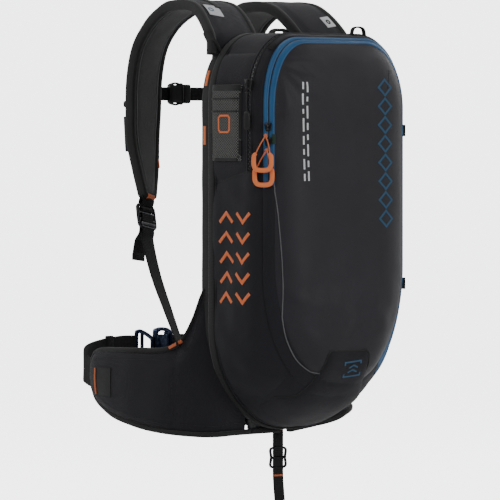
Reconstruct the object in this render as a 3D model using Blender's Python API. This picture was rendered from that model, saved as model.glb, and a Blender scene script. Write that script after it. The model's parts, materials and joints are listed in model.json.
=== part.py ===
# Avalanche airbag backpack. Metres, +Z up, +X the wearer's right, +Y towards the wearer's chest.
# The origin is on the lumbar pad's flat face, where the pack rests on the wearer's back.
import math

import bmesh
import bpy
from mathutils import Matrix, Vector

# Driving dimensions of the pack body
HALF_WIDTH = 0.125
TOP_Z = 0.462
BACK_Y = -0.0205
SIDE_DEPTH = 0.0695
CORNER_RADIUS = 0.05
TOP_CORNER = (0.065, 0.085)
CROWN_TOP = 0.015
CROWN_LOW = 0.024
SHELL = 0.003
SEAM_GAP = 0.0013

# Zips
AIR_ZIP = (0.0755, 0.0795)
OUTER_TAPE = (0.1025, 0.1085)
INNER_TAPE = (0.1100, 0.1165)
ZIP_LEFT_END_Z = 0.267
ZIP_RIGHT_END_Z = 0.040
FOLD_Y = -0.160

# Straps and webbing
PAD_THICK = 0.012
PAD_TURN = math.radians(14.8)
WEBBING = 0.025
WEBBING_THICK = 0.0016

INK = (0.012, 0.012, 0.017)
CHARCOAL = (0.03, 0.029, 0.035)
BLACK = (0.008, 0.008, 0.009)
BLUE = (0.03, 0.14, 0.30)
ORANGE = (0.86, 0.22, 0.06)
MESH_GREY = (0.05, 0.05, 0.05)
SILVER = (0.42, 0.42, 0.44)
STEEL_BLUE = (0.05, 0.07, 0.13)


# scene and materials
def clear_scene():
    for old in list(bpy.data.objects):
        bpy.data.objects.remove(old)


def finish_for(name, color, rough, metal):
    material = bpy.data.materials.new(name)
    material.use_nodes = True
    shader = material.node_tree.nodes["Principled BSDF"]
    shader.inputs["Base Color"].default_value = (*color, 1)
    shader.inputs["Roughness"].default_value = rough
    shader.inputs["Metallic"].default_value = metal
    return material


def object_from(name, bm, color, rough=0.7, metal=0.0, pivot=None, smooth=True):
    """Makes an object of a bmesh in world metres, with its origin moved to the pivot."""
    mesh = bpy.data.meshes.new(name)
    if pivot is not None:
        bmesh.ops.translate(bm, verts=bm.verts, vec=-Vector(pivot))
    bm.to_mesh(mesh)
    bm.free()
    if smooth:
        mesh.shade_smooth()
        mesh.set_sharp_from_angle(angle=math.radians(40))
    obj = bpy.data.objects.new(name, mesh)
    if pivot is not None:
        obj.location = pivot
    bpy.context.scene.collection.objects.link(obj)
    mesh.materials.append(finish_for(name, color, rough, metal))
    return obj


# shaping helpers
def smooth_path(points, steps=3):
    """A Catmull-Rom curve through the points."""
    points = [Vector(p) for p in points]
    ends = [2 * points[0] - points[1], *points, 2 * points[-1] - points[-2]]
    path = []
    for a, b, c, d in zip(ends, ends[1:], ends[2:], ends[3:]):
        for step in range(steps):
            t = step / steps
            path.append(
                0.5 * (2 * b + (c - a) * t + (2 * a - 5 * b + 4 * c - d) * t**2)
                + 0.5 * (3 * b - a - 3 * c + d) * t**3
            )
    return [*path, points[-1]]


RECT = [(-1, -1), (1, -1), (1, 1), (-1, 1)]
PADDED = [(-1, -0.4), (-0.88, -1), (0.88, -1), (1, -0.4), (1, 0.4), (0.88, 1), (-0.88, 1), (-1, 0.4)]


def round_profile(count):
    return [(math.cos(math.tau * k / count), math.sin(math.tau * k / count)) for k in range(count)]


def sweep(stations, profile, closed=False):
    """Skins a profile along stations of (centre, side vector, up vector), the vectors holding half sizes."""
    bm = bmesh.new()
    rings = []
    for centre, side, up in stations:
        rings.append([bm.verts.new(Vector(centre) + p * Vector(side) + q * Vector(up)) for p, q in profile])
    pairs = list(zip(rings, rings[1:]))
    if closed:
        pairs.append((rings[-1], rings[0]))
    count = len(profile)
    for low, high in pairs:
        for k in range(count):
            bm.faces.new((low[k], low[(k + 1) % count], high[(k + 1) % count], high[k]))
    if not closed:
        bm.faces.new(rings[0])
        bm.faces.new(rings[-1])
    bmesh.ops.recalc_face_normals(bm, faces=bm.faces)
    return bm


def along(path, side, half_side, half_up, closed=False):
    """Stations on a path whose side vector is kept square to the path."""
    stations = []
    last = len(path) - 1
    for k, point in enumerate(path):
        if closed:
            ahead, behind = path[(k + 1) % len(path)], path[k - 1]
        else:
            ahead, behind = path[min(k + 1, last)], path[max(k - 1, 0)]
        run = (Vector(ahead) - Vector(behind)).normalized()
        across = Vector(side[k] if isinstance(side, list) else side)
        across = (across - across.dot(run) * run).normalized()
        wide = half_side[k] if isinstance(half_side, list) else half_side
        thick = half_up[k] if isinstance(half_up, list) else half_up
        stations.append((point, across * wide, run.cross(across).normalized() * thick))
    return stations


def ribbon(points, side, width, thick, steps=3):
    return sweep(along(smooth_path(points, steps), side, width / 2, thick / 2), RECT)


def block(low, high):
    low, high = Vector(low), Vector(high)
    bm = bmesh.new()
    bmesh.ops.create_cube(bm, size=1, matrix=Matrix.Translation((low + high) / 2))
    for vert in bm.verts:
        for axis in range(3):
            vert.co[axis] = (low if vert.co[axis] < (low + high)[axis] / 2 else high)[axis]
    return bm


def cut_with(obj, cutter, name, operation="DIFFERENCE"):
    """Cuts a helper out of an object, or joins it on, and keeps the helper out of the model."""
    cutter.hide_render = True
    cutter.display_type = "WIRE"
    modifier = obj.modifiers.new(name, "BOOLEAN")
    modifier.operation = operation
    modifier.solver = "EXACT"
    modifier.object = cutter


def cut_away(obj, *boxes):
    """Cuts boxes, each (low, high) in world metres, out of an object."""
    for number, (low, high) in enumerate(boxes):
        cutter = object_from(f"{obj.name}_cutter_{number}", block(low, high), BLACK, smooth=False)
        cut_with(obj, cutter, f"cut_{number}")


def cylinder(start, end, radius, sides=20):
    start, end = Vector(start), Vector(end)
    bm = bmesh.new()
    turn = (end - start).to_track_quat("Z", "Y").to_matrix().to_4x4()
    bmesh.ops.create_cone(
        bm,
        cap_ends=True,
        segments=sides,
        radius1=radius,
        radius2=radius,
        depth=(end - start).length,
        matrix=Matrix.Translation((start + end) / 2) @ turn,
    )
    return bm


# the pack's skin
def bottom_at(y):
    """Height of the underside, which rises towards the front."""
    part = (-y - 0.02) / 0.105
    return -0.045 + 0.045 * (0.5 * part + 0.5 * part * part)


def bottom_corner(y):
    """Width and height of the lower corner's quarter ellipse at that depth."""
    part = min(max((-y - 0.02) / 0.105, 0), 1)
    return 0.130, 0.130 + 0.030 * part


def outline(u, y, inset):
    """A point (x, z) on the body's outline. u runs 0 to 10: bottom middle, left side, top, right side."""
    if u < 0 or u > 5:
        x, z = outline(10 - u if u > 5 else -u, y, inset)
        return -x, z
    half = HALF_WIDTH - inset
    top, low = TOP_Z - inset, bottom_at(y) + inset
    top_x, top_z = TOP_CORNER
    low_x, low_z = bottom_corner(y)
    low_x = min(low_x, half - 0.008)
    part, rest = int(min(u, 4)), u - int(min(u, 4))
    turn = rest * math.pi / 2
    if part == 0:
        return -(half - low_x) * rest, low
    if part == 1:
        return -(half - low_x) - low_x * math.sin(turn), low + low_z * (1 - math.cos(turn))
    if part == 2:
        return -half, low + low_z + (top - top_z - low - low_z) * rest
    if part == 3:
        return -half + top_x * (1 - math.cos(turn)), top - top_z * (1 - math.sin(turn))
    return -(half - top_x) * (1 - rest), top


def depth_at(v):
    """Turns v, the distance forward over the skin, into (y, inset)."""
    if v <= SIDE_DEPTH:
        return BACK_Y - v, 0.0
    turn = (v - SIDE_DEPTH) / CORNER_RADIUS
    return BACK_Y - SIDE_DEPTH - CORNER_RADIUS * math.sin(turn), CORNER_RADIUS * (1 - math.cos(turn))


def skin(u, v):
    y, inset = depth_at(v)
    x, z = outline(u, y, inset)
    return Vector((x, y, z))


def skin_normal(u, v):
    step = 0.0005
    du = skin(u + step, v) - skin(u - step, v)
    dv = skin(u, v + step) - skin(u, v - step)
    return dv.cross(du).normalized()


def u_at_height(z, v):
    """The u on the left side at a height."""
    low, high = 0.0, 5.0
    for _ in range(40):
        middle = (low + high) / 2
        if skin(middle, v).z < z:
            low = middle
        else:
            high = middle
    return low


def spread(low, high, count):
    return [low + (high - low) * k / count for k in range(count + 1)]


def u_steps(low, high):
    """u values between two limits, closer together where the outline turns."""
    stops = {0: 1, 1: 11, 2: 4, 3: 5, 4: 1, 5: 1, 6: 5, 7: 4, 8: 11, 9: 1}
    values = [low]
    start = math.floor(low)
    for part in range(start, math.ceil(high)):
        count = stops[part % 10]
        values += [part + k / count for k in range(count + 1)]
    values = sorted({round(u, 5) for u in values if low < u < high} | {round(low, 5), round(high, 5)})
    kept = [values[0]]
    for u in values[1:-1]:
        if u - kept[-1] > 0.04 and values[-1] - u > 0.04:
            kept.append(u)
    return [*kept, values[-1]]


def sheet(grid):
    """A one-sided sheet of a grid of points, its faces turned away from the pack's middle."""
    bm = bmesh.new()
    rows = [[bm.verts.new(point) for point in row] for row in grid]
    for low, high in zip(rows, rows[1:]):
        for k in range(len(low) - 1):
            bm.faces.new((low[k], low[k + 1], high[k + 1], high[k]))
    bm.normal_update()
    middle = Vector((0, -0.07, 0.21))
    outward = sum(face.normal.dot(face.calc_center_median() - middle) for face in bm.faces)
    if outward < 0:
        bmesh.ops.reverse_faces(bm, faces=bm.faces)
    return bm


def thicken(obj, thick):
    solid = obj.modifiers.new("wall", "SOLIDIFY")
    solid.thickness = thick
    solid.offset = -1
    return obj


def skin_panel(name, u_range, v_range, v_count, color, thick=SHELL, rough=0.75, proud=0.0):
    grid = []
    for v in spread(*v_range, v_count):
        grid.append([skin(u, v) + proud * skin_normal(u, v) for u in u_steps(*u_range)])
    return thicken(object_from(name, sheet(grid), color, rough), thick)


def build_shell():
    left_end = u_at_height(ZIP_LEFT_END_Z, OUTER_TAPE[1])
    right_end = 10 - u_at_height(ZIP_RIGHT_END_Z, OUTER_TAPE[1])
    seam = u_at_height(0.276, 0.03)
    side = (0.0, AIR_ZIP[0] - SEAM_GAP)
    gusset = (AIR_ZIP[1] + SEAM_GAP, OUTER_TAPE[0] - SEAM_GAP)
    skin_panel("side_panel_left_lower", (1.415, seam - 0.006), side, 2, INK)
    skin_panel("side_panel_left_upper", (seam + 0.006, 3.48), side, 2, INK)
    skin_panel("top_panel", (3.52, 6.48), side, 2, INK)
    skin_panel("side_panel_right", (6.52, 8.585), side, 2, INK)
    skin_panel("airbag_zip_tape", (1.415, 8.585), AIR_ZIP, 1, BLACK, thick=0.0016, proud=-0.0004)
    skin_panel("compartment_gusset", (1.415, 8.585), gusset, 2, INK)
    skin_panel("bottom_panel", (-1.385, 1.385), (0.0, OUTER_TAPE[0] - SEAM_GAP), 5, INK)
    skin_panel("zip_tape_outer", (left_end, right_end), OUTER_TAPE, 1, BLUE, thick=0.0016)
    skin_panel("zip_tape_inner", (left_end + 0.012, right_end - 0.02), INNER_TAPE, 1, BLUE, thick=0.0016)
    piping = (OUTER_TAPE[0], INNER_TAPE[1])
    skin_panel("front_piping", (right_end + 0.02 - 10, left_end - 0.012), piping, 2, SILVER, thick=0.002)


# front panel
def crown_at(z):
    low = min(max((0.36 - z) / 0.26, 0), 1)
    return CROWN_TOP + (CROWN_LOW - CROWN_TOP) * low * low * (3 - 2 * low)


def bulge(part):
    return 1 - (1 - min(max(part, 0), 1)) ** 2.9


def front_sheet():
    start = INNER_TAPE[1] + SEAM_GAP
    y, inset = depth_at(start)
    u_values = [1 + k / 5 for k in range(5)] + [2 + k / 5 for k in range(5)] + [3 + k / 5 for k in range(6)]
    reach = HALF_WIDTH - inset
    low, top = bottom_at(y) + inset, TOP_Z - inset
    grid = []
    for u in u_values:
        x, z = outline(u, y, inset)
        row = []
        for t in (-1, -0.93, -0.82, -0.66, -0.45, -0.2, 0.2, 0.45, 0.66, 0.82, 0.93, 1):
            rise = bulge(1 - abs(t)) * bulge((z - low) / reach) * bulge((top - z) / reach)
            row.append(Vector((-x * t, y - crown_at(z) * rise, z)))
        grid.append(row)
    return sheet(grid)


def fold_line():
    """Two points: the zip's left end and its right end, on the hinge line's depth."""
    left = skin(u_at_height(ZIP_LEFT_END_Z, OUTER_TAPE[1]), OUTER_TAPE[1])
    right = skin(10 - u_at_height(ZIP_RIGHT_END_Z, OUTER_TAPE[1]), OUTER_TAPE[1])
    return Vector((left.x, FOLD_Y, left.z)), Vector((right.x, FOLD_Y, right.z))


def build_front():
    left, right = fold_line()
    across = (right - left).normalized()
    normal = Vector((-across.z, 0, across.x))
    for name, sign in (("front_panel", 1), ("front_panel_lower", -1)):
        bm = front_sheet()
        bmesh.ops.bisect_plane(
            bm,
            geom=[*bm.verts, *bm.edges, *bm.faces],
            plane_co=left + normal * sign * SEAM_GAP / 2,
            plane_no=normal * sign,
            clear_inner=True,
        )
        pivot = left if sign > 0 else None
        thicken(object_from(name, bm, CHARCOAL, 0.55, pivot=pivot), SHELL)


# back, frame and pads
def plate(name, y_front, y_back, inset, color, z_low=None, rough=0.8, metal=0.0):
    """A flat plate of the body's outline between two depths, cut off below z_low if it is given."""
    points = []
    for k in range(60):
        u = 10 * k / 60
        x, z = outline(u, y_front, inset)
        points.append((x, max(z, z_low) if z_low is not None else z))
    bm = bmesh.new()
    loop = []
    for x, z in points:
        if not loop or (Vector((x, y_front, z)) - loop[-1].co).length > 0.0005:
            loop.append(bm.verts.new((x, y_front, z)))
    if (loop[0].co - loop[-1].co).length < 0.0005:
        bm.verts.remove(loop.pop())
    face = bm.faces.new(loop)
    made = bmesh.ops.extrude_face_region(bm, geom=[face])
    moved = [item for item in made["geom"] if isinstance(item, bmesh.types.BMVert)]
    bmesh.ops.translate(bm, verts=moved, vec=(0, y_back - y_front, 0))
    bmesh.ops.recalc_face_normals(bm, faces=bm.faces)
    return object_from(name, bm, color, rough, metal)


def pad(name, low, high, color, edge=0.006):
    """A padded block with its corners bevelled, its face towards the wearer left flat."""
    obj = object_from(name, block(low, high), color, 0.9)
    bevel = obj.modifiers.new("soft_edges", "BEVEL")
    bevel.width = edge
    bevel.segments = 2
    return obj


def build_back():
    plate("back_wall", -0.0240, -0.0208, 0.0042, INK)
    plate("divider_panel", -0.0680, -0.0660, 0.0048, INK, z_low=-0.030)
    plate("frame_sheet", -0.0198, -0.0180, 0.012, (0.55, 0.55, 0.57), rough=0.6)
    for side, word in ((-1, "left"), (1, "right")):
        low, high = sorted((side * 0.030, side * 0.045))
        stay = block((low, -0.0175, 0.0), (high, -0.0155, 0.42))
        object_from(f"frame_stay_{word}", stay, (0.7, 0.7, 0.72), 0.35, 1.0)
        low, high = sorted((side * 0.016, side * 0.119))
        pad(f"back_pad_{word}", (low, -0.0150, 0.165), (high, -0.0006, 0.425), MESH_GREY)
    pad("lumbar_pad", (-0.088, -0.0150, -0.040), (0.088, 0.0, 0.150), MESH_GREY)


# airbag system
def build_airbag_system():
    points = [(-0.095, -0.045, 0.20), (-0.095, -0.045, 0.30), (-0.088, -0.045, 0.39), (-0.045, -0.045, 0.427)]
    points += [(-x, y, z) for x, y, z in reversed(points)]
    path = smooth_path(points, 2)
    stations = along(path, (0, 1, 0), 0.016, 0.019)
    object_from("folded_airbag", sweep(stations, PADDED), ORANGE, 0.6)
    housing = object_from("inflator_housing", block((-0.055, -0.062, 0.250), (0.0, -0.028, 0.330)), BLACK, 0.5)
    bevel = housing.modifiers.new("edges", "BEVEL")
    bevel.width = 0.004
    bevel.segments = 2
    foot = Vector((-0.0275, -0.045, 0.075))
    profile = [(0.0, 0.0), (0.010, 0.001), (0.0165, 0.008), (0.0165, 0.142), (0.009, 0.158), (0.009, 0.1745)]
    profile.append((0.0, 0.1745))
    bm = bmesh.new()
    chain = [bm.verts.new((radius, 0, height)) for radius, height in profile]
    edges = [bm.edges.new(pair) for pair in zip(chain, chain[1:])]
    bmesh.ops.spin(
        bm, geom=[*chain, *edges], cent=(0, 0, 0), axis=(0, 0, 1), angle=math.tau, steps=20, use_merge=True
    )
    bmesh.ops.remove_doubles(bm, verts=bm.verts, dist=0.00001)
    bmesh.ops.recalc_face_normals(bm, faces=bm.faces)
    bmesh.ops.translate(bm, verts=bm.verts, vec=foot)
    object_from("gas_cartridge", bm, SILVER, 0.3, 1.0, pivot=foot)
    pin = cylinder((-0.0275, -0.045, 0.3305), (-0.0275, -0.045, 0.3500), 0.0025, 10)
    object_from("release_pin", pin, SILVER, 0.3, 1.0, pivot=(-0.0275, -0.045, 0.3305))
    route = [(-0.0275, -0.045, 0.3600), (-0.0275, -0.045, 0.375), (-0.032, -0.042, 0.392), (-0.040, -0.036, 0.400)]
    route = smooth_path(route, 3)
    object_from("release_cable_inner", sweep(along(route, (0, 1, 0.3), 0.0025, 0.0025), round_profile(8)), BLACK)


# zip sliders and pulls
def corner_frame(z, v):
    """Origin on the left front corner, with the outward, forward and down directions."""
    u = u_at_height(z, v)
    normal = skin_normal(u, v)
    down = Vector((0, 0, -1))
    return skin(u, v), normal, normal.cross(down).normalized(), down


def slider(name, z, v, lift, color):
    point, normal, forward, down = corner_frame(z, v)
    centre = point + normal * (lift + 0.0022) - forward * 0.001
    stations = []
    for offset, wide in ((-0.0065, 0.0022), (-0.0045, 0.0038), (0.003, 0.0034), (0.0065, 0.0024)):
        stations.append((centre + down * offset, forward * wide, normal * 0.0018))
    return object_from(name, sweep(stations, PADDED), color, 0.35, 0.6)


def loop_pull(name, z, v, lift, length, wide, color, shift=0.0):
    """A cord loop that widens into a moulded grip: one closed ring of a changing section."""
    point, normal, forward, down = corner_frame(z, v)
    top = point + normal * lift
    shape = [(0.0, 0.0), (0.35, 0.30), (0.80, 0.56), (1.0, 0.68), (1.0, 0.86), (0.8, 0.965), (0.4, 1.0)]
    shape = shape + [(-x, y) for x, y in reversed(shape[1:])]
    thick = [0.0010, 0.0010, 0.0012, 0.0022, 0.0026, 0.0026, 0.0026]
    thick = thick + list(reversed(thick[1:]))
    path = [top + forward * (x * wide / 2 + shift * y) + down * (y * length) for x, y in shape]
    stations = along(path, normal, thick, thick, closed=True)
    bm = sweep(stations, round_profile(6), closed=True)
    return object_from(name, bm, color, 0.45, pivot=top)


def build_zip_hardware():
    slider("zip_slider_upper", 0.343, 0.1060, 0.0012, BLACK)
    slider("zip_slider_lower", 0.324, 0.1060, 0.0012, BLACK)
    loop_pull("zip_pull_upper", 0.333, 0.1050, 0.0100, 0.047, 0.024, ORANGE, shift=-0.004)
    loop_pull("zip_pull_lower", 0.3145, 0.1050, 0.0038, 0.047, 0.024, ORANGE, shift=-0.004)
    slider("airbag_slider", 0.396, 0.0780, 0.0030, BLACK)
    loop_pull("airbag_pull", 0.3865, 0.0780, 0.0048, 0.048, 0.010, BLACK, shift=-0.004)


# small pieces on the body
def build_trim():
    pocket = object_from("side_mesh_pocket", block((-0.1340, -0.084, 0.300), (-0.1256, -0.026, 0.396)), MESH_GREY)
    cut_away(pocket, ((-0.1325, -0.0825, 0.3015), (-0.1270, -0.0275, 0.410)))
    haul = [(-0.028, -0.010, 0.4300), (-0.026, -0.0085, 0.452), (-0.012, -0.0075, 0.468), (0.012, -0.0075, 0.468)]
    haul += [(0.026, -0.0085, 0.452), (0.028, -0.010, 0.4300)]
    object_from("haul_loop", ribbon(haul, (0, 1, 0), 0.014, 0.0018), BLACK, pivot=(0, -0.0085, 0.430))
    top = [(0.043, -0.100, 0.4635), (0.046, -0.100, 0.4665), (0.055, -0.100, 0.4700), (0.064, -0.100, 0.4665)]
    top += [(0.067, -0.100, 0.4635)]
    object_from("top_loop", ribbon(top, (0, 1, 0), 0.012, 0.0014, 2), BLACK)
    for word, z in (("upper", 0.338), ("lower", 0.150)):
        _, normal, forward, _ = corner_frame(z, 0.095)
        base = skin(u_at_height(z, 0.095), 0.095) + normal * 0.0006
        loop = []
        for out, up in ((0.0006, 0.008), (0.005, 0.008), (0.0085, 0.004), (0.0085, -0.004), (0.005, -0.008)):
            loop.append(base + normal * out + Vector((0, 0, up)))
        loop.append(base + normal * 0.0006 + Vector((0, 0, -0.008)))
        loop = [Vector((-p.x, p.y, p.z)) for p in loop]
        side = Vector((-forward.x, forward.y, forward.z))
        object_from(f"gear_loop_{word}", ribbon(loop, side, 0.014, 0.0014, 1), BLACK)


# shoulder straps
STRAP_LINE = [
    (0.080, -0.0100, 0.4330),
    (0.076, -0.0020, 0.4620),
    (0.068, 0.040, 0.4960),
    (0.066, 0.095, 0.5010),
    (0.068, 0.126, 0.4900),
    (0.070, 0.150, 0.4720),
    (0.074, 0.166, 0.4460),
    (0.077, 0.173, 0.4080),
    (0.079, 0.173, 0.3650),
    (0.083, 0.169, 0.3260),
    (0.088, 0.158, 0.2890),
    (0.095, 0.144, 0.2500),
]
STRAP_HALF = [0.0370, 0.0390, 0.0370, 0.0335, 0.0320, 0.0315, 0.0315, 0.0315, 0.0310, 0.0280, 0.0210, 0.0110]


def strap_side(sign):
    return Vector((-sign * math.cos(PAD_TURN), math.sin(PAD_TURN), 0))


def build_strap(sign, word):
    points = [(sign * x, y, z) for x, y, z in STRAP_LINE]
    side = strap_side(sign)
    sides = []
    for k in range(len(points)):
        blend = min(k / 5, 1)
        sides.append(Vector((-sign, 0, 0)).lerp(side, blend))
    path = smooth_path(points, 2)
    halves = [STRAP_HALF[0]]
    turns = [sides[0]]
    for k in range(1, len(points)):
        halves += [(STRAP_HALF[k - 1] + STRAP_HALF[k]) / 2, STRAP_HALF[k]]
        turns += [(sides[k - 1] + sides[k]) / 2, sides[k]]
    root = (sign * 0.080, -0.0100, 0.4330)
    bm = sweep(along(path, turns, halves, PAD_THICK / 2), PADDED)
    object_from(f"strap_pad_{word}", bm, MESH_GREY, 0.95, pivot=root)

    # stub and ladder lock at the tip
    lock = Vector((sign * 0.1010, 0.1395, 0.2270))
    down = Vector((sign * 0.10, -0.30, -0.95)).normalized()
    across = (side - side.dot(down) * down).normalized()
    out = down.cross(across).normalized()

    def plate(middle, half):
        return sweep([(middle + down * step, across * half[0], out * half[1]) for step in (-half[2], half[2])], RECT)

    bm = plate(lock, (0.0165, 0.0022, 0.015))
    frame = object_from(f"ladder_lock_{word}", bm, BLACK, 0.4, pivot=lock - down * 0.012)
    for number, offset in enumerate((-0.0085, 0.001, 0.0095)):
        slot = plate(lock + down * offset, (0.013, 0.006, 0.003))
        cutter = object_from(f"ladder_cutter_{word}_{number}", slot, BLACK, smooth=False)
        cut_with(frame, cutter, f"slot_{number}")

    start = lock + down * 0.0200
    lower = [start, (sign * 0.108, 0.127, 0.193), (sign * 0.118, 0.098, 0.150), (sign * 0.129, 0.060, 0.106)]
    lower.append((sign * 0.1375, 0.030, 0.0720))
    lower = [Vector(p) for p in lower]
    object_from(f"lower_webbing_{word}", ribbon(lower, side, WEBBING, WEBBING_THICK), BLACK, 0.8)


STERNUM_Z = 0.388
STERNUM_Y = 0.196


def build_sternum_strap():
    z, y = STERNUM_Z, STERNUM_Y
    left = [(-0.074, 0.1832, z), (-0.050, 0.1905, z), (-0.034, y, z), (-0.018, y, z)]
    object_from("sternum_webbing_left", ribbon(left, (0, 0, 1), 0.018, WEBBING_THICK), BLACK, 0.8)
    right = [(0.018, y, z), (0.034, y, z), (0.048, y + 0.001, z), (0.066, y + 0.001, z)]
    object_from("sternum_webbing_right", ribbon(right, (0, 0, 1), 0.018, WEBBING_THICK), BLACK, 0.8)
    case = block((-0.0176, y - 0.0045, z - 0.013), (0.004, y + 0.0045, z + 0.013))
    socket = object_from("sternum_buckle_socket", case, BLACK, 0.4)
    cut_away(socket, ((-0.010, y - 0.0028, z - 0.010), (0.010, y + 0.0028, z + 0.010)))
    body = block((0.0045, y - 0.0045, z - 0.013), (0.0176, y + 0.0045, z + 0.013))
    plug = object_from("sternum_buckle_plug", body, BLACK, 0.4)
    blade = block((-0.008, y - 0.002, z - 0.0085), (0.010, y + 0.002, z + 0.0085))
    tongue = object_from("sternum_tongue_cutter", blade, BLACK)
    cut_with(plug, tongue, "tongue", "UNION")


TRIGGER_FACE = (-0.0815, 0.1800, 0.3330)
TRIGGER_LEAN = (-0.10, -0.20, -0.97)
POUCH_OFFSET = 0.0065
POUCH_HALF = (0.0190, 0.0045)
POCKET_HALF = (0.0155, 0.0029)
GRIP = (
    (-0.052, 0.0150, 0.0032),
    (-0.048, 0.0185, 0.0042),
    (-0.040, 0.0185, 0.0042),
    (-0.035, 0.0080, 0.0022),
    (0.014, 0.0080, 0.0022),
)


def build_trigger():
    """The release grip stands in a flat pouch on the left strap's outer face."""
    lean = Vector(TRIGGER_LEAN).normalized()
    side = strap_side(-1)
    out = side.cross(lean).normalized()
    if out.y < 0:
        out = -out
    middle = Vector(TRIGGER_FACE) + out * POUCH_OFFSET

    def span(low, high, half):
        return [(middle + lean * offset, side * half[0], out * half[1]) for offset in (low, high)]

    pouch = object_from("trigger_pouch", sweep(span(-0.026, 0.020, POUCH_HALF), PADDED), BLACK, 0.85)
    cutter = object_from("trigger_pouch_cutter", sweep(span(-0.040, 0.017, POCKET_HALF), RECT), BLACK, smooth=False)
    cut_with(pouch, cutter, "hollow")
    grip = [(middle + lean * offset, side * wide, out * thick) for offset, wide, thick in GRIP]
    object_from("trigger_handle", sweep(grip, PADDED), ORANGE, 0.4)


# hip belt
WING_LINE = [
    (0.1000, -0.0020, 0.0030, 0.0500),
    (0.1250, 0.0080, 0.0040, 0.0510),
    (0.1420, 0.0350, 0.0055, 0.0525),
    (0.1530, 0.0750, 0.0060, 0.0525),
    (0.1580, 0.1150, 0.0100, 0.0480),
    (0.1560, 0.1600, 0.0175, 0.0400),
    (0.1480, 0.1980, 0.0220, 0.0300),
]
# how much higher the right wing's lower edge runs, row by row
RIGHT_RISE = [0.022, 0.029, 0.031, 0.0215, 0.005, 0.0, 0.0]
BELT_Y = 0.250
BELT_Z = 0.050


def build_wing(sign, word):
    rises = RIGHT_RISE if sign > 0 else [0.0] * len(WING_LINE)
    path = [Vector((sign * x, y, z + rise / 2)) for (x, y, z, _), rise in zip(WING_LINE, rises)]
    halves = [half - rise / 2 for (*_, half), rise in zip(WING_LINE, rises)]
    thick = [0.0050, 0.0060, 0.0070, 0.0070, 0.0065, 0.0060, 0.0055]
    root = (sign * 0.100, -0.002, 0.0)
    bm = sweep(along(path, (0, 0, 1), halves, thick), PADDED)
    object_from(f"hip_wing_{word}", bm, INK, 0.8, pivot=root)
    web = [(sign * 0.1455, 0.2045, 0.026), (sign * 0.139, 0.222, 0.032), (sign * 0.120, 0.2385, 0.040)]
    web += [(sign * 0.090, 0.2470, 0.046), (sign * 0.055, BELT_Y, BELT_Z), (sign * 0.0305, BELT_Y, BELT_Z)]
    object_from(f"hip_webbing_{word}", ribbon(web, (0, 0, 1), 0.038, 0.0022), BLACK, 0.8, pivot=root)


HOOK_HALF = 0.025
FRAME_HALF = 0.028


def build_hip_buckle():
    z, y = BELT_Z, BELT_Y
    plate = block((-0.0300, y - 0.003, z - HOOK_HALF), (0.0, y + 0.003, z + HOOK_HALF))
    hook = object_from("hip_buckle_hook", plate, STEEL_BLUE, 0.25, 1.0)
    cut_away(hook, ((-0.0260, y - 0.01, z - 0.0195), (-0.0200, y + 0.01, z + 0.0195)))
    blade = block((-0.004, y - 0.0012, z - 0.012), (0.018, y + 0.0012, z + 0.012))
    tongue = object_from("hip_tongue_cutter", blade, BLACK)
    cut_with(hook, tongue, "tongue", "UNION")
    case = block((0.0008, y - 0.0055, z - FRAME_HALF), (0.0300, y + 0.0055, z + FRAME_HALF))
    frame = object_from("hip_buckle_frame", case, STEEL_BLUE, 0.25, 1.0)
    cut_away(
        frame,
        ((-0.010, y - 0.0035, z - 0.0150), (0.0205, y + 0.0035, z + 0.0150)),
        ((0.0235, y - 0.02, z - 0.0195), (0.0270, y + 0.02, z + 0.0195)),
    )


def build_leg_strap():
    web = [(-0.005, -0.0122, z) for z in (-0.0465, -0.075, -0.104)]
    web += [(-0.004, -0.0122, -0.120), (-0.002, -0.0122, -0.140)]
    object_from("leg_strap", ribbon(web, (1, 0, 0), 0.018, 0.0018), BLACK, 0.8, pivot=(-0.005, -0.012, -0.0465))
    body = block((-0.0178, -0.0165, -0.0960), (0.0078, -0.0080, -0.0700))
    frame = object_from("leg_strap_buckle", body, SILVER, 0.3, 1.0, pivot=(-0.005, -0.012, -0.070))
    cut_away(
        frame,
        ((-0.0152, -0.0141, -0.10), (0.0052, -0.0105, -0.06)),
        ((-0.0152, -0.03, -0.0925), (0.0052, 0.01, -0.0735)),
    )


def main():
    clear_scene()
    build_shell()
    build_front()
    build_back()
    build_airbag_system()
    build_zip_hardware()
    build_trim()
    for sign, word in ((-1, "left"), (1, "right")):
        build_strap(sign, word)
        build_wing(sign, word)
    build_sternum_strap()
    build_trigger()
    build_hip_buckle()
    build_leg_strap()


main()
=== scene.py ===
import json
from functools import partial
from math import atan, atan2, ceil, copysign, cos, exp, pi, radians, sin, sqrt, tan, tau

import bpy
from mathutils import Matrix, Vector, noise
from mathutils.bvhtree import BVHTree

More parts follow.
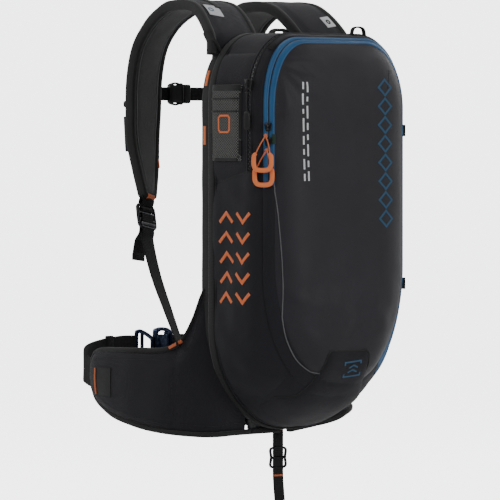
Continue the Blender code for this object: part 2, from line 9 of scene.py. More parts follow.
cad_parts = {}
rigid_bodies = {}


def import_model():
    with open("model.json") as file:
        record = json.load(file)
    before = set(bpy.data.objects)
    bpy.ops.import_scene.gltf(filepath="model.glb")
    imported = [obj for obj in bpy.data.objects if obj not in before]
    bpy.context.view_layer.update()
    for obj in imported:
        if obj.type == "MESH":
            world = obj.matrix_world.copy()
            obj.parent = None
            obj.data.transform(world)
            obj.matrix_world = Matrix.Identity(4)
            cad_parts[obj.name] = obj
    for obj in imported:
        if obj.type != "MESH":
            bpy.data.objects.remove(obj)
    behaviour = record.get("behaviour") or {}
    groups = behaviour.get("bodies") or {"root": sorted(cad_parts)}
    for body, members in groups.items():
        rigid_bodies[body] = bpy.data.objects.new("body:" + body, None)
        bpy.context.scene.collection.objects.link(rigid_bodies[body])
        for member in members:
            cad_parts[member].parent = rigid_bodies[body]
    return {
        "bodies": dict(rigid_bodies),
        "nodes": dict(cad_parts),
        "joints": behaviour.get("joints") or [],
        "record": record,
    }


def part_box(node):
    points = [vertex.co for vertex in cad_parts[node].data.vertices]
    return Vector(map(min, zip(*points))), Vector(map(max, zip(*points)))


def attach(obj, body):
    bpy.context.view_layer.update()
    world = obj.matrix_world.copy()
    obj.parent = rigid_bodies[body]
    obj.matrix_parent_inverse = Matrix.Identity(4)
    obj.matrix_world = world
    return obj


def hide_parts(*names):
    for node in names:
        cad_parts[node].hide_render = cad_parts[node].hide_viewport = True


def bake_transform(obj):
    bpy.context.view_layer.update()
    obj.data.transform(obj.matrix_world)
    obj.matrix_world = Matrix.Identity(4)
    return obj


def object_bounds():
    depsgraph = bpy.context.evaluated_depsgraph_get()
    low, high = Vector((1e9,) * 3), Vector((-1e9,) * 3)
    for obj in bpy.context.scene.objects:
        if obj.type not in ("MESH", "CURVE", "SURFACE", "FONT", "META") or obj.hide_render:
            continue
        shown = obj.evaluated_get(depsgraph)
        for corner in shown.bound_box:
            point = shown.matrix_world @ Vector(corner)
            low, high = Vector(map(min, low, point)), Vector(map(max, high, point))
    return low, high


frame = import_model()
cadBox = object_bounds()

print("stage: frame loaded")

# The camera looks from behind and to the left of the wearer, through a long lens.
view = {"azimuth": -40, "elevation": 1.0, "lens": 400, "frameWidth": 0.650, "aim": (0.0, 0.050, 0.184)}


def setInputs(node, values):
    for label, value in values.items():
        node.inputs[label].default_value = value


def addCamera():
    turn, lift = radians(view["azimuth"]), radians(view["elevation"])
    back = Vector((sin(turn) * cos(lift), -cos(turn) * cos(lift), sin(lift)))
    reach = view["frameWidth"] / 2 / tan(atan(18 / view["lens"]))
    bpy.ops.object.camera_add(location=Vector(view["aim"]) + back * reach)
    camera = bpy.context.object
    camera.rotation_euler = (-back).to_track_quat("-Z", "Y").to_euler()
    camera.data.lens = view["lens"]
    bpy.context.scene.camera = camera


studio = {"paper": (0.86, 0.86, 0.865), "world": 0.26, "backdrop": 4.7, "floorDrop": 0.03}


def showOnlyToCamera(tree, usual, seen, output):
    # The bright backdrop is what the camera sees, and the softer one lights the object
    ray = tree.nodes.new("ShaderNodeLightPath")
    mix = tree.nodes.new("ShaderNodeMixShader")
    tree.links.new(ray.outputs["Is Camera Ray"], mix.inputs[0])
    tree.links.new(usual, mix.inputs[1])
    tree.links.new(seen, mix.inputs[2])
    tree.links.new(mix.outputs[0], output.inputs["Surface"])


def addStudio():
    world = bpy.data.worlds.new("studio")
    bpy.context.scene.world = world
    world.use_nodes = True
    tree = world.node_tree
    setInputs(tree.nodes["Background"], {"Color": (*studio["paper"], 1), "Strength": studio["world"]})
    backdrop = tree.nodes.new("ShaderNodeBackground")
    setInputs(backdrop, {"Color": (*studio["paper"], 1), "Strength": studio["backdrop"]})
    showOnlyToCamera(
        tree, tree.nodes["Background"].outputs[0], backdrop.outputs[0], tree.nodes["World Output"]
    )
    bpy.ops.mesh.primitive_plane_add(size=60, location=(0, 0, cadBox[0].z - studio["floorDrop"]))
    floor = bpy.context.object
    floor.name = "floor"
    paper = bpy.data.materials.new("paper")
    paper.use_nodes = True
    tree = paper.node_tree
    shader = tree.nodes["Principled BSDF"]
    setInputs(shader, {"Base Color": (*studio["paper"], 1), "Roughness": 0.9, "Specular IOR Level": 0.0})
    glow = tree.nodes.new("ShaderNodeEmission")
    setInputs(glow, {"Color": (*studio["paper"], 1), "Strength": studio["backdrop"] - studio["world"]})
    both = tree.nodes.new("ShaderNodeAddShader")
    tree.links.new(shader.outputs[0], both.inputs[0])
    tree.links.new(glow.outputs[0], both.inputs[1])
    showOnlyToCamera(tree, shader.outputs[0], both.outputs[0], tree.nodes["Material Output"])
    floor.data.materials.append(paper)
    for place, size, power in (
        ((-2.3, -0.9, 1.5), 1.2, 15), ((0.6, -2.7, 1.1), 0.7, 20), ((2.4, 0.2, 1.2), 1.0, 13),
        ((-1.5, 2.0, 1.4), 1.2, 14), ((0.3, 0.4, 2.4), 1.4, 12),
    ):
        bpy.ops.object.light_add(type="AREA", location=place)
        lamp = bpy.context.object
        lamp.data.size = size
        lamp.data.energy = power
        lamp.rotation_euler = (Vector((0, 0, 0.2)) - Vector(place)).to_track_quat("-Z", "Y").to_euler()


addCamera()
addStudio()
print("stage: camera and studio")


def newGroup(name, **numbers):
    # A node group that takes a place and some numbers, and gives a height and a mask
    group = bpy.data.node_groups.new(name, "ShaderNodeTree")
    group.interface.new_socket(name="Vector", in_out="INPUT", socket_type="NodeSocketVector")
    for label, value in numbers.items():
        socket = group.interface.new_socket(name=label, in_out="INPUT", socket_type="NodeSocketFloat")
        socket.default_value = value
    for label in ("Height", "Mask"):
        group.interface.new_socket(name=label, in_out="OUTPUT", socket_type="NodeSocketFloat")
    start, end = group.nodes.new("NodeGroupInput"), group.nodes.new("NodeGroupOutput")
    return group, start.outputs, end.inputs, partial(mathNode, group)


def mathNode(tree, operation, first, second=None):
    node = tree.nodes.new("ShaderNodeMath")
    node.operation = operation
    for slot, value in ((0, first), (1, second)):
        if value is None:
            continue
        if isinstance(value, (int, float)):
            node.inputs[slot].default_value = value
        else:
            tree.links.new(value, node.inputs[slot])
    return node.outputs[0]


def makeWeaveGroup():
    # Plain weave: threads over and under, with slubs
    group, given, result, calc = newGroup("threadWeave", Threads=1500.0, Slub=0.3)
    apart = group.nodes.new("ShaderNodeSeparateXYZ")
    group.links.new(given["Vector"], apart.inputs[0])
    waves = []
    for axis in (0, 1):
        scaled = calc("MULTIPLY", apart.outputs[axis], given["Threads"])
        waves.append(calc("SINE", scaled))
    third = calc("SINE", calc("MULTIPLY", apart.outputs[2], given["Threads"]))
    cross = calc("MULTIPLY", calc("ADD", waves[0], third), waves[1])
    slub = group.nodes.new("ShaderNodeTexNoise")
    setInputs(slub, {"Scale": 260, "Detail": 3})
    group.links.new(given["Vector"], slub.inputs["Vector"])
    lumps = calc("MULTIPLY", slub.outputs["Fac"], given["Slub"])
    height = calc("ADD", calc("MULTIPLY", cross, 0.5), lumps)
    group.links.new(height, result["Height"])
    group.links.new(calc("MULTIPLY", calc("ADD", height, 0.5), 0.6), result["Mask"])
    return group


def makeMottleGroup():
    # Slow changes of tone over a surface, from wear and handling
    group, given, result, calc = newGroup("softMottle", Scale=9.0, Contrast=1.0)
    cloud = group.nodes.new("ShaderNodeTexNoise")
    setInputs(cloud, {"Detail": 6, "Roughness": 0.6})
    group.links.new(given["Vector"], cloud.inputs["Vector"])
    group.links.new(given["Scale"], cloud.inputs["Scale"])
    spread = calc("MULTIPLY", calc("SUBTRACT", cloud.outputs["Fac"], 0.5), given["Contrast"])
    group.links.new(calc("ADD", spread, 0.5), result["Mask"])
    group.links.new(cloud.outputs["Fac"], result["Height"])
    return group


def makeKnitGroup():
    # Open spacer knit: round holes in rows between two-tone yarn
    group, given, result, calc = newGroup("spacerKnit", Holes=420.0, Heather=0.5)
    cells = group.nodes.new("ShaderNodeTexVoronoi")
    cells.inputs["Randomness"].default_value = 0.25
    group.links.new(given["Vector"], cells.inputs["Vector"])
    group.links.new(given["Holes"], cells.inputs["Scale"])
    yarn = group.nodes.new("ShaderNodeTexNoise")
    setInputs(yarn, {"Scale": 700, "Detail": 2})
    group.links.new(given["Vector"], yarn.inputs["Vector"])
    rim = calc("MINIMUM", calc("MULTIPLY", cells.outputs["Distance"], 2.2), 1.0)
    streak = calc("MULTIPLY", calc("SUBTRACT", yarn.outputs["Fac"], 0.5), given["Heather"])
    group.links.new(rim, result["Height"])
    group.links.new(calc("ADD", calc("MULTIPLY", rim, 0.7), streak), result["Mask"])
    return group


def makeRibGroup():
    # Webbing: ribs across the strap, with a fine herringbone between them
    group, given, result, calc = newGroup("webbingRibs", Ribs=1800.0, Lean=0.5)
    apart = group.nodes.new("ShaderNodeSeparateXYZ")
    group.links.new(given["Vector"], apart.inputs[0])
    zigzag = calc("PINGPONG", apart.outputs[0], 0.002)
    leaned = calc("ADD", apart.outputs[1], calc("MULTIPLY", zigzag, given["Lean"]))
    ribs = calc("SINE", calc("MULTIPLY", leaned, given["Ribs"]))
    fine = calc("SINE", calc("MULTIPLY", apart.outputs[0], 5200.0))
    height = calc("ADD", calc("MULTIPLY", ribs, 0.5), calc("MULTIPLY", fine, 0.2))
    group.links.new(height, result["Height"])
    group.links.new(calc("MULTIPLY", calc("ADD", height, 0.7), 0.7), result["Mask"])
    return group


def makeWearGroup():
    # Rubbed edges: a mask that is high on worn ridges
    group, given, result, calc = newGroup("rubbedEdges", Spread=6.0)
    shape = group.nodes.new("ShaderNodeNewGeometry")
    grain = group.nodes.new("ShaderNodeTexNoise")
    setInputs(grain, {"Scale": 320, "Detail": 5})
    group.links.new(given["Vector"], grain.inputs["Vector"])
    ridge = calc("MULTIPLY", calc("SUBTRACT", shape.outputs["Pointiness"], 0.515), given["Spread"])
    worn = calc("MULTIPLY", calc("MAXIMUM", ridge, 0.0), grain.outputs["Fac"])
    total = calc("ADD", worn, calc("MULTIPLY", grain.outputs["Fac"], 0.25))
    group.links.new(calc("MINIMUM", total, 1.0), result["Mask"])
    group.links.new(grain.outputs["Fac"], result["Height"])
    return group


weaveGroup = makeWeaveGroup()
mottleGroup = makeMottleGroup()
knitGroup = makeKnitGroup()
ribGroup = makeRibGroup()
wearGroup = makeWearGroup()


def startMaterial(name):
    material = bpy.data.materials.new(name)
    material.use_nodes = True
    tree = material.node_tree
    return material, tree, tree.nodes["Principled BSDF"], tree.nodes.new("ShaderNodeTexCoord")


def addGroup(tree, group, vector, **values):
    node = tree.nodes.new("ShaderNodeGroup")
    node.node_tree = group
    tree.links.new(vector, node.inputs["Vector"])
    for label, value in values.items():
        node.inputs[label].default_value = value
    return node


def blendColors(tree, mask, dark, light):
    ramp = tree.nodes.new("ShaderNodeValToRGB")
    ramp.color_ramp.elements[0].color = (*dark, 1)
    ramp.color_ramp.elements[1].color = (*light, 1)
    ramp.color_ramp.elements[0].position = 0.25
    ramp.color_ramp.elements[1].position = 0.75
    tree.links.new(mask, ramp.inputs["Fac"])
    return ramp.outputs["Color"]


def mixMasks(tree, first, second, share):
    a = mathNode(tree, "MULTIPLY", first, share)
    b = mathNode(tree, "MULTIPLY", second, 1 - share)
    return mathNode(tree, "ADD", a, b)


def addBump(tree, shader, height, distance, strength=1.0):
    bump = tree.nodes.new("ShaderNodeBump")
    setInputs(bump, {"Distance": distance, "Strength": strength})
    tree.links.new(height, bump.inputs["Height"])
    tree.links.new(bump.outputs["Normal"], shader.inputs["Normal"])


def mapRoughness(tree, shader, mask, low, high):
    spread = tree.nodes.new("ShaderNodeMapRange")
    setInputs(spread, {"To Min": low, "To Max": high})
    tree.links.new(mask, spread.inputs["Value"])
    tree.links.new(spread.outputs["Result"], shader.inputs["Roughness"])


def cloth(
    name, dark, light, group, pattern, rough=(0.6, 0.8), sheen=0.2, bump=0.0003, coordinate="UV", share=0.35
):
    material, tree, shader, where = startMaterial(name)
    vector = where.outputs[coordinate]
    threads = addGroup(tree, group, vector, **pattern)
    mottle = addGroup(tree, mottleGroup, where.outputs["Object"], Scale=11.0, Contrast=1.3)
    mask = mixMasks(tree, threads.outputs["Mask"], mottle.outputs["Mask"], share)
    tree.links.new(blendColors(tree, mask, dark, light), shader.inputs["Base Color"])
    mapRoughness(tree, shader, mask, *rough)
    setInputs(shader, {"Sheen Weight": sheen, "Sheen Roughness": 0.45, "Specular IOR Level": 0.35})
    addBump(tree, shader, threads.outputs["Height"], bump, 0.6)
    return material


def hard(name, dark, light, rough=(0.3, 0.5), metal=0.0, bump=0.00006, coat=0.0):
    material, tree, shader, where = startMaterial(name)
    wear = addGroup(tree, wearGroup, where.outputs["Object"], Spread=7.0)
    mottle = addGroup(tree, mottleGroup, where.outputs["Object"], Scale=60.0, Contrast=1.0)
    tree.links.new(blendColors(tree, wear.outputs["Mask"], dark, light), shader.inputs["Base Color"])
    mapRoughness(tree, shader, mottle.outputs["Mask"], *rough)
    setInputs(shader, {"Metallic": metal, "Coat Weight": coat})
    addBump(tree, shader, wear.outputs["Height"], bump, 0.5)
    return material


ink = cloth(
    "inkNylon", (0.0040, 0.0039, 0.0072), (0.0098, 0.0094, 0.0155), weaveGroup, {"Threads": 5200.0},
    (0.62, 0.8), 0.16,
)
charcoal = cloth(
    "charcoalStretch", (0.0125, 0.0115, 0.0165), (0.0230, 0.0212, 0.0290), weaveGroup, {"Threads": 7400.0},
    (0.42, 0.58), 0.25, 0.0001,
)
padMesh = cloth(
    "padMesh", (0.012, 0.012, 0.013), (0.075, 0.075, 0.077), knitGroup, {"Holes": 520.0}, (0.8, 0.95), 0.3,
    0.0006, share=0.8,
)
heather = cloth(
    "heatherLining", (0.030, 0.030, 0.030), (0.095, 0.095, 0.094), knitGroup,
    {"Holes": 900.0, "Heather": 1.4}, (0.8, 0.95), 0.3, 0.0003, share=0.7,
)
binding = cloth(
    "bindingTape", (0.006, 0.0065, 0.006), (0.019, 0.020, 0.019), ribGroup, {"Ribs": 3600.0}, (0.6, 0.8),
    0.2, 0.0002,
)
webbing = cloth(
    "webbing", (0.003, 0.003, 0.0035), (0.014, 0.014, 0.015), ribGroup, {"Ribs": 2600.0}, (0.72, 0.9),
    0.06, 0.0004, share=0.6,
)
blueTape = cloth(
    "blueTape", (0.011, 0.080, 0.200), (0.022, 0.125, 0.290), ribGroup, {"Ribs": 6200.0, "Lean": 0.0},
    (0.34, 0.48), 0.05, 0.0001,
)
blackTape = cloth(
    "blackTape", (0.004, 0.004, 0.005), (0.014, 0.014, 0.016), ribGroup, {"Ribs": 4200.0, "Lean": 0.0},
    (0.5, 0.7), 0.1, 0.0004,
)
silverCord = cloth(
    "silverCord", (0.06, 0.06, 0.065), (0.19, 0.19, 0.20), ribGroup, {"Ribs": 5200.0}, (0.35, 0.5), 0.1,
    0.0002,
)
orangeThread = cloth(
    "orangeThread", (0.62, 0.12, 0.035), (0.95, 0.27, 0.10), ribGroup, {"Ribs": 6200.0}, (0.6, 0.8), 0.2,
    0.0003,
)
orangeNylon = cloth(
    "orangeNylon", (0.62, 0.13, 0.03), (0.90, 0.25, 0.07), weaveGroup, {"Threads": 4200.0}, (0.5, 0.7), 0.1
)
labelCloth = cloth(
    "labelCloth", (0.55, 0.56, 0.58), (0.85, 0.86, 0.88), weaveGroup, {"Threads": 5200.0}, (0.6, 0.8), 0.1
)
greenTag = cloth(
    "greenTag", (0.010, 0.030, 0.020), (0.030, 0.075, 0.050), weaveGroup, {"Threads": 4200.0}, (0.6, 0.8),
    0.1,
)
blackPlastic = hard("blackPlastic", (0.006, 0.006, 0.007), (0.05, 0.05, 0.052), (0.32, 0.5))
orangePlastic = hard("orangePlastic", (0.95, 0.24, 0.07), (1.0, 0.50, 0.28), (0.38, 0.55), bump=0.0001)
satinMetal = hard("satinMetal", (0.42, 0.43, 0.45), (0.78, 0.79, 0.8), (0.2, 0.38), 1.0)
blueMetal = hard("blueMetal", (0.020, 0.035, 0.085), (0.20, 0.27, 0.42), (0.16, 0.3), 0.9, coat=0.4)
darkMetal = hard("darkMetal", (0.03, 0.03, 0.034), (0.17, 0.17, 0.18), (0.22, 0.38), 0.9)
whitePrint = hard("whitePrint", (0.70, 0.71, 0.73), (0.90, 0.91, 0.93), (0.5, 0.6))
bluePrint = hard("bluePrint", (0.020, 0.085, 0.165), (0.045, 0.150, 0.260), (0.4, 0.5))
orangePrint = hard("orangePrint", (0.85, 0.18, 0.05), (1.0, 0.32, 0.13), (0.5, 0.6))
print("stage: materials")


def deselect():
    if bpy.context.mode != "OBJECT":
        bpy.ops.object.mode_set(mode="OBJECT")
    bpy.ops.object.select_all(action="DESELECT")


def pick(piece):
    deselect()
    piece.select_set(True)
    bpy.context.view_layer.objects.active = piece


def editWhole(piece, *steps):
    # Runs mesh operators on all of a piece, one after another
    pick(piece)
    bpy.ops.object.mode_set(mode="EDIT")
    for step in steps:
        bpy.ops.mesh.select_all(action="SELECT")
        step()
    bpy.ops.object.mode_set(mode="OBJECT")


faceOut = partial(bpy.ops.mesh.normals_make_consistent, inside=False)
mergeDoubles = partial(bpy.ops.mesh.remove_doubles, threshold=0.000002)
fillEnds = partial(bpy.ops.mesh.fill_holes, sides=0)


def applyModifiers(piece):
    pick(piece)
    for modifier in list(piece.modifiers):
        bpy.ops.object.modifier_apply(modifier=modifier.name)


def smoothen(piece, levels):
    sub = piece.modifiers.new("rounding", "SUBSURF")
    sub.levels = levels
    sub.render_levels = levels
    applyModifiers(piece)


def wallOf(piece, thick):
    wall = piece.modifiers.new("wall", "SOLIDIFY")
    wall.thickness = thick
    wall.offset = -1
    applyModifiers(piece)


def gridPiece(name, cols, rows, place, size=(0.1, 0.1), wrap=False, capped=True):
    # A grid laid out by place(s, t), s across and t along. wrap joins its sides into a tube
    deselect()
    bpy.ops.mesh.primitive_grid_add(x_subdivisions=cols, y_subdivisions=rows, size=2, calc_uvs=True)
    piece = bpy.context.object
    piece.name = name
    mesh = piece.data
    mesh.name = name
    for vert in mesh.vertices:
        vert.co = place((vert.co.x + 1) / 2, (vert.co.y + 1) / 2)
    for point in mesh.uv_layers.active.data:
        point.uv = (point.uv[0] * size[0], point.uv[1] * size[1])
    if wrap:
        editWhole(piece, mergeDoubles, *([fillEnds] if capped else []), faceOut)
    return piece


def faceAway(piece, middle):
    # Turns an open sheet's faces away from a point
    middle = Vector(middle)
    total = sum(face.normal.dot(face.center - middle) for face in piece.data.polygons)
    if total < 0:
        editWhole(piece, bpy.ops.mesh.flip_normals)


def sheetPiece(name, cols, rows, place, size, middle, wall):
    # A grid with its faces turned away from middle, and a wall behind it
    piece = gridPiece(name, cols, rows, place, size)
    faceAway(piece, middle)
    wallOf(piece, wall)
    return piece


def finishPiece(piece, material, body, hides=(), angle=50):
    piece.data.materials.clear()
    piece.data.materials.append(material)
    pick(piece)
    bpy.ops.object.shade_smooth_by_angle(angle=radians(angle))
    if body:
        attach(piece, body)
    if hides:
        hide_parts(*hides)
    return piece


def lineThrough(rows):
    # A smooth curve through rows of numbers: at(t) gives the row at t, from 0 to 1
    rows = [[float(value) for value in row] for row in rows]
    first = [2 * a - b for a, b in zip(rows[0], rows[1])]
    last = [2 * a - b for a, b in zip(rows[-1], rows[-2])]
    rows = [first, *rows, last]
    spans = len(rows) - 3

    def at(t):
        place = min(max(t, 0), 1) * spans
        k = min(int(place), spans - 1)
        f = place - k
        row = []
        for a, b, c, d in zip(*rows[k : k + 4]):
            row.append(
                0.5 * (
                    2 * b + (c - a) * f + (2 * a - 5 * b + 4 * c - d) * f * f
                    + (3 * b - a - 3 * c + d) * f**3
                )
            )
        return row

    return at


def stretched(at, count=160):
    # The same curve with t running evenly along its length (first three numbers are a place)
    marks = [Vector(at(k / count)[:3]) for k in range(count + 1)]
    lengths = [0.0]
    for a, b in zip(marks, marks[1:]):
        lengths.append(lengths[-1] + (b - a).length)
    total = lengths[-1]

    def even(t):
        want = min(max(t, 0), 1) * total
        k = 0
        while k < count - 1 and lengths[k + 1] < want:
            k += 1
        step = max(lengths[k + 1] - lengths[k], 1e-9)
        return at((k + (want - lengths[k]) / step) / count)

    return even, total


def frameAt(at, t, across):
    step = 0.002
    ahead, behind = Vector(at(min(t + step, 1))[:3]), Vector(at(max(t - step, 0))[:3])
    run = (ahead - behind).normalized()
    side = Vector(across)
    side = (side - side.dot(run) * run).normalized()
    return Vector(at(t)[:3]), run, side, run.cross(side).normalized()


def roundedSection(s, power):
    # A point of a superellipse: power 2 is an ellipse, and higher is squarer
    turn = tau * s
    c, n = cos(turn), sin(turn)
    p = copysign(abs(c) ** (2 / power), c)
    q = copysign(abs(n) ** (2 / power), n)
    return p, q


def strapPiece(name, at, across, wide, thick, rows=60, around=24, power=5, shape=None):
    # A band along a curve. across(t) gives its width direction; wide and thick are halves, numbers or
    # functions
    even, total = stretched(at)

    def place(s, t):
        centre, run, side, out = frameAt(even, t, across(t) if callable(across) else across)
        w = wide(t) if callable(wide) else wide
        h = thick(t) if callable(thick) else thick
        p, q = roundedSection(s, power)
        extra = shape(t, p, q) if shape else 0
        return centre + side * p * w + out * (q * h + extra)

    girth = 4 * (wide(0.5) if callable(wide) else wide)
    return gridPiece(name, around, rows, place, (girth, total), wrap=True)


def tubePiece(name, points, radius, rows=60, around=10, closed=False, across=(0.3, 0.5, 0.81), power=2):
    # A cord or binding along points. radius is a number, (wide, thick), or a function of t that gives
    # the pair
    if closed:
        at = lineThrough([*points[-2:], *points, *points[:3]])
        extra = len(points) + 4
        low, high = 2 / extra, (2 + len(points)) / extra

        def looped(t):
            return at(low + (high - low) * (t % 1.0 if t < 1 else 0.0))

        marks = [Vector(looped(k / rows)) for k in range(rows)]
    else:
        even, total = stretched(lineThrough(points))
        marks = [Vector(even(k / rows)) for k in range(rows + 1)]
    side = Vector(across)
    frames = []
    for k, mark in enumerate(marks):
        if closed:
            run = marks[(k + 1) % len(marks)] - marks[k - 1]
        else:
            run = marks[min(k + 1, len(marks) - 1)] - marks[max(k - 1, 0)]
        run.normalize()
        side = (side - side.dot(run) * run).normalized()
        frames.append((mark, side.copy(), run.cross(side).normalized()))
    length = sum((b - a).length for a, b in zip(marks, marks[1:]))

    def place(s, t):
        k = round(t * rows) % len(frames) if closed else round(t * rows)
        mark, right, up = frames[k]
        wide, thick = radius(t) if callable(radius) else (
            radius if isinstance(radius, tuple) else (radius, radius)
        )
        p, q = roundedSection(s, power)
        return mark + right * p * wide + up * q * thick

    return gridPiece(name, around, rows, place, (0.01, length), wrap=True, capped=not closed)


def boxPiece(name, centre, right, up, out, size, bevel=0.0008, segments=2):
    # A block of that size, (along right, up, out), with rounded edges
    deselect()
    bpy.ops.mesh.primitive_cube_add(size=1)
    piece = bpy.context.object
    piece.name = name
    piece.data.name = name
    right, up, out = (Vector(v).normalized() for v in (right, up, out))
    for vert in piece.data.vertices:
        x, y, z = vert.co
        vert.co = Vector(centre) + right * x * size[0] + up * y * size[1] + out * z * size[2]
    editWhole(piece, faceOut, partial(bpy.ops.mesh.bevel, offset=bevel, segments=segments, affect="EDGES"))
    return piece


upright = ((1, 0, 0), (0, 0, 1), (0, 1, 0))


def joinPieces(name, pieces):
    deselect()
    for piece in pieces:
        piece.select_set(True)
    bpy.context.view_layer.objects.active = pieces[0]
    bpy.ops.object.join()
    pieces[0].name = name
    pieces[0].data.name = name
    return pieces[0]


def ripple(point, scale, seed=0.0):
    return noise.noise(Vector(point) * scale + Vector((seed, seed * 1.7, -seed)))


body = {
    "halfWidth": -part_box("side_panel_left_lower")[0].x, "top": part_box("top_panel")[1].z,
    "back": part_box("side_panel_right")[1].y, "sideDepth": 0.0695, "corner": 0.05,
    "topCorner": (0.065, 0.085), "crown": (0.015, 0.024), "airZip": (0.0755, 0.0795),
    "blueZip": (0.0970, 0.1043, 0.1118), "sideSeam": 0.276, "pillow": 4.6, "zipLeftEnd": 0.267,
    "zipRightEnd": 0.040, "foldDepth": -0.160,
}


def bottomAt(y):
    part = (-y - 0.02) / 0.105
    return -0.045 + 0.045 * (0.5 * part + 0.5 * part * part)


def outline(u, y, inset):
    # (x, z) round the body. u is 0 at the bottom middle, 5 at the top middle, the left side first
    if u < 0 or u > 5:
        x, z = outline(10 - u if u > 5 else -u, y, inset)
        return -x, z
    half = body["halfWidth"] - inset
    top, low = body["top"] - inset, bottomAt(y) + inset
    topX, topZ = body["topCorner"]
    share = min(max((-y - 0.02) / 0.105, 0), 1)
    lowX, lowZ = min(0.130, half - 0.008), 0.130 + 0.030 * share
    part = int(min(u, 4))
    rest = u - part
    turn = rest * pi / 2
    if part == 0:
        return -(half - lowX) * rest, low
    if part == 1:
        return -(half - lowX) - lowX * sin(turn), low + lowZ * (1 - cos(turn))
    if part == 2:
        return -half, low + lowZ + (top - topZ - low - lowZ) * rest
    if part == 3:
        return -half + topX * (1 - cos(turn)), top - topZ * (1 - sin(turn))
    return -(half - topX) * (1 - rest), top


def seamShift(u, v):
    # The blue zip sits further back over the top and down the right side
    along = min(max((u - 3.0) / 0.9, 0), 1) * min(max((9.4 - u) / 0.5, 0), 1)
    across = min(max((v - 0.080) / 0.017, 0), 1)
    return 0.0075 * along * along * (3 - 2 * along) * across


def skin(u, v):
    v -= seamShift(u, v)
    if v <= body["sideDepth"]:
        x, z = outline(u, body["back"] - v, 0)
        return Vector((x, body["back"] - v, z))
    turn = (v - body["sideDepth"]) / body["corner"]
    y = body["back"] - body["sideDepth"] - body["corner"] * sin(turn)
    x, z = outline(u, y, body["corner"] * (1 - cos(turn)))
    return Vector((x, y, z))


def skinNormal(u, v):
    step = 0.001
    du = skin(u + step, v) - skin(u - step, v)
    dv = skin(u, v + step) - skin(u, max(v - step, -0.01))
    return dv.cross(du).normalized()


def atHeight(z, v):
    low, high = 0.0, 5.0
    for _ in range(40):
        middle = (low + high) / 2
        if skin(middle, v).z < z:
            low = middle
        else:
            high = middle
    return low


def bulge(share):
    return 1 - (1 - min(max(share, 0), 1)) ** body["pillow"]


def frontPoint(u, across, start=None):
    # A point of the front: u picks the row by its left end, across runs -1 to 1
    start = body["blueZip"][2] if start is None else start
    left, right = seamShift(u, start), seamShift(10 - u, start)
    start -= left + (right - left) * (across + 1) / 2
    turn = (start - body["sideDepth"]) / body["corner"]
    y = body["back"] - body["sideDepth"] - body["corner"] * sin(turn)
    inset = body["corner"] * (1 - cos(turn))
    x, z = outline(u, y, inset)
    reach = body["halfWidth"] - inset
    low, top = bottomAt(y) + inset, body["top"] - inset
    sink = min(max((0.36 - z) / 0.26, 0), 1)
    crown = body["crown"][0] + (body["crown"][1] - body["crown"][0]) * sink * sink * (3 - 2 * sink)
    rise = bulge(1 - abs(across)) * bulge((z - low) / reach) * bulge((top - z) / reach)
    return Vector((-x * across, y - crown * rise, z))


def evenRows(t):
    # Spreads t over the front's rows so that they are close together at the two ends
    return 1 + 3 * (0.5 - 0.5 * cos(pi * t)) * 0.35 + 3 * t * 0.65


def panelPiece(name, uRange, vRange, cols, rows, swell, seed, wrinkle=0.0006, tuck=0.0010, wall=0.0012):
    # A sewn panel: swelled between its seams, tucked in along them, with soft wrinkles

    def place(s, t):
        u = uRange[0] + (uRange[1] - uRange[0]) * t
        v = vRange[0] + (vRange[1] - vRange[0]) * s
        point = skin(u, v)
        middle = (1 - abs(2 * s - 1) ** 5) * (1 - abs(2 * t - 1) ** 14)
        folds = ripple((point.x * 2, point.y * 2.2, point.z), 11, seed) + 0.5 * ripple(point, 34, seed + 3)
        lift = -tuck + (tuck + swell) * middle + wrinkle * folds * middle * 2
        return point + skinNormal(u, v) * lift

    long = (skin(uRange[0], vRange[0]) - skin((uRange[0] + uRange[1]) / 2, vRange[0])).length * 2
    return sheetPiece(name, cols, rows, place, (vRange[1] - vRange[0], long), (0, -0.07, 0.21), wall)


def buildBody():
    leftEnd = atHeight(body["zipLeftEnd"], body["blueZip"][1])
    seam = atHeight(body["sideSeam"], 0.03)
    airLow, airHigh = body["airZip"]
    zipLow, zipMid, zipHigh = body["blueZip"]
    side, whole = (0.0, airLow), (0.0, zipLow + 0.0004)
    for name, uRange, vRange, cols, rows, swell, seed, wrinkle, tuck, nodes in (
        ("sideLower", (1.4, seam), whole, 40, 90, 0.0016, 1.3, 0.0020, 0.0010, ["side_panel_left_lower"]),
        ("sideUpper", (seam, 3.5), side, 24, 56, 0.0014, 5.1, 0.0005, 0.0010, ["side_panel_left_upper"]),
        ("topPanel", (3.5, 6.5), side, 22, 70, 0.0012, 8.2, 0.0006, 0.0010, ["top_panel"]),
        ("sideRightUpper", (6.5, 10 - seam), side, 26, 60, 0.0016, 2.7, 0.0008, 0.0010, []),
        ("sideRight", (10 - seam, 8.6), whole, 40, 90, 0.0016, 4.7, 0.0012, 0.0010, ["side_panel_right"]),
        (
            "frontGusset", (seam, 10 - seam), (airHigh, zipLow), 12, 220, 0.0008, 3.3, 0.0004, 0.0005,
            ["compartment_gusset"],
        ),
        ("underPanel", (-1.4, 1.4), (0.0, zipHigh), 46, 110, 0.0010, 6.6, 0.0008, 0.0010, ["bottom_panel"]),
    ):
        panel = panelPiece(name, uRange, vRange, cols, rows, swell, seed, wrinkle, tuck)
        finishPiece(panel, ink, "pack", nodes)
    airTape = panelPiece(
        "airbagZip", (seam, 10 - seam), (airLow - 0.0008, airHigh + 0.0008), 6, 220, 0.0002, 1.1, 0.0
    )
    finishPiece(airTape, blackTape, "pack", ["airbag_zip_tape"])
    return leftEnd


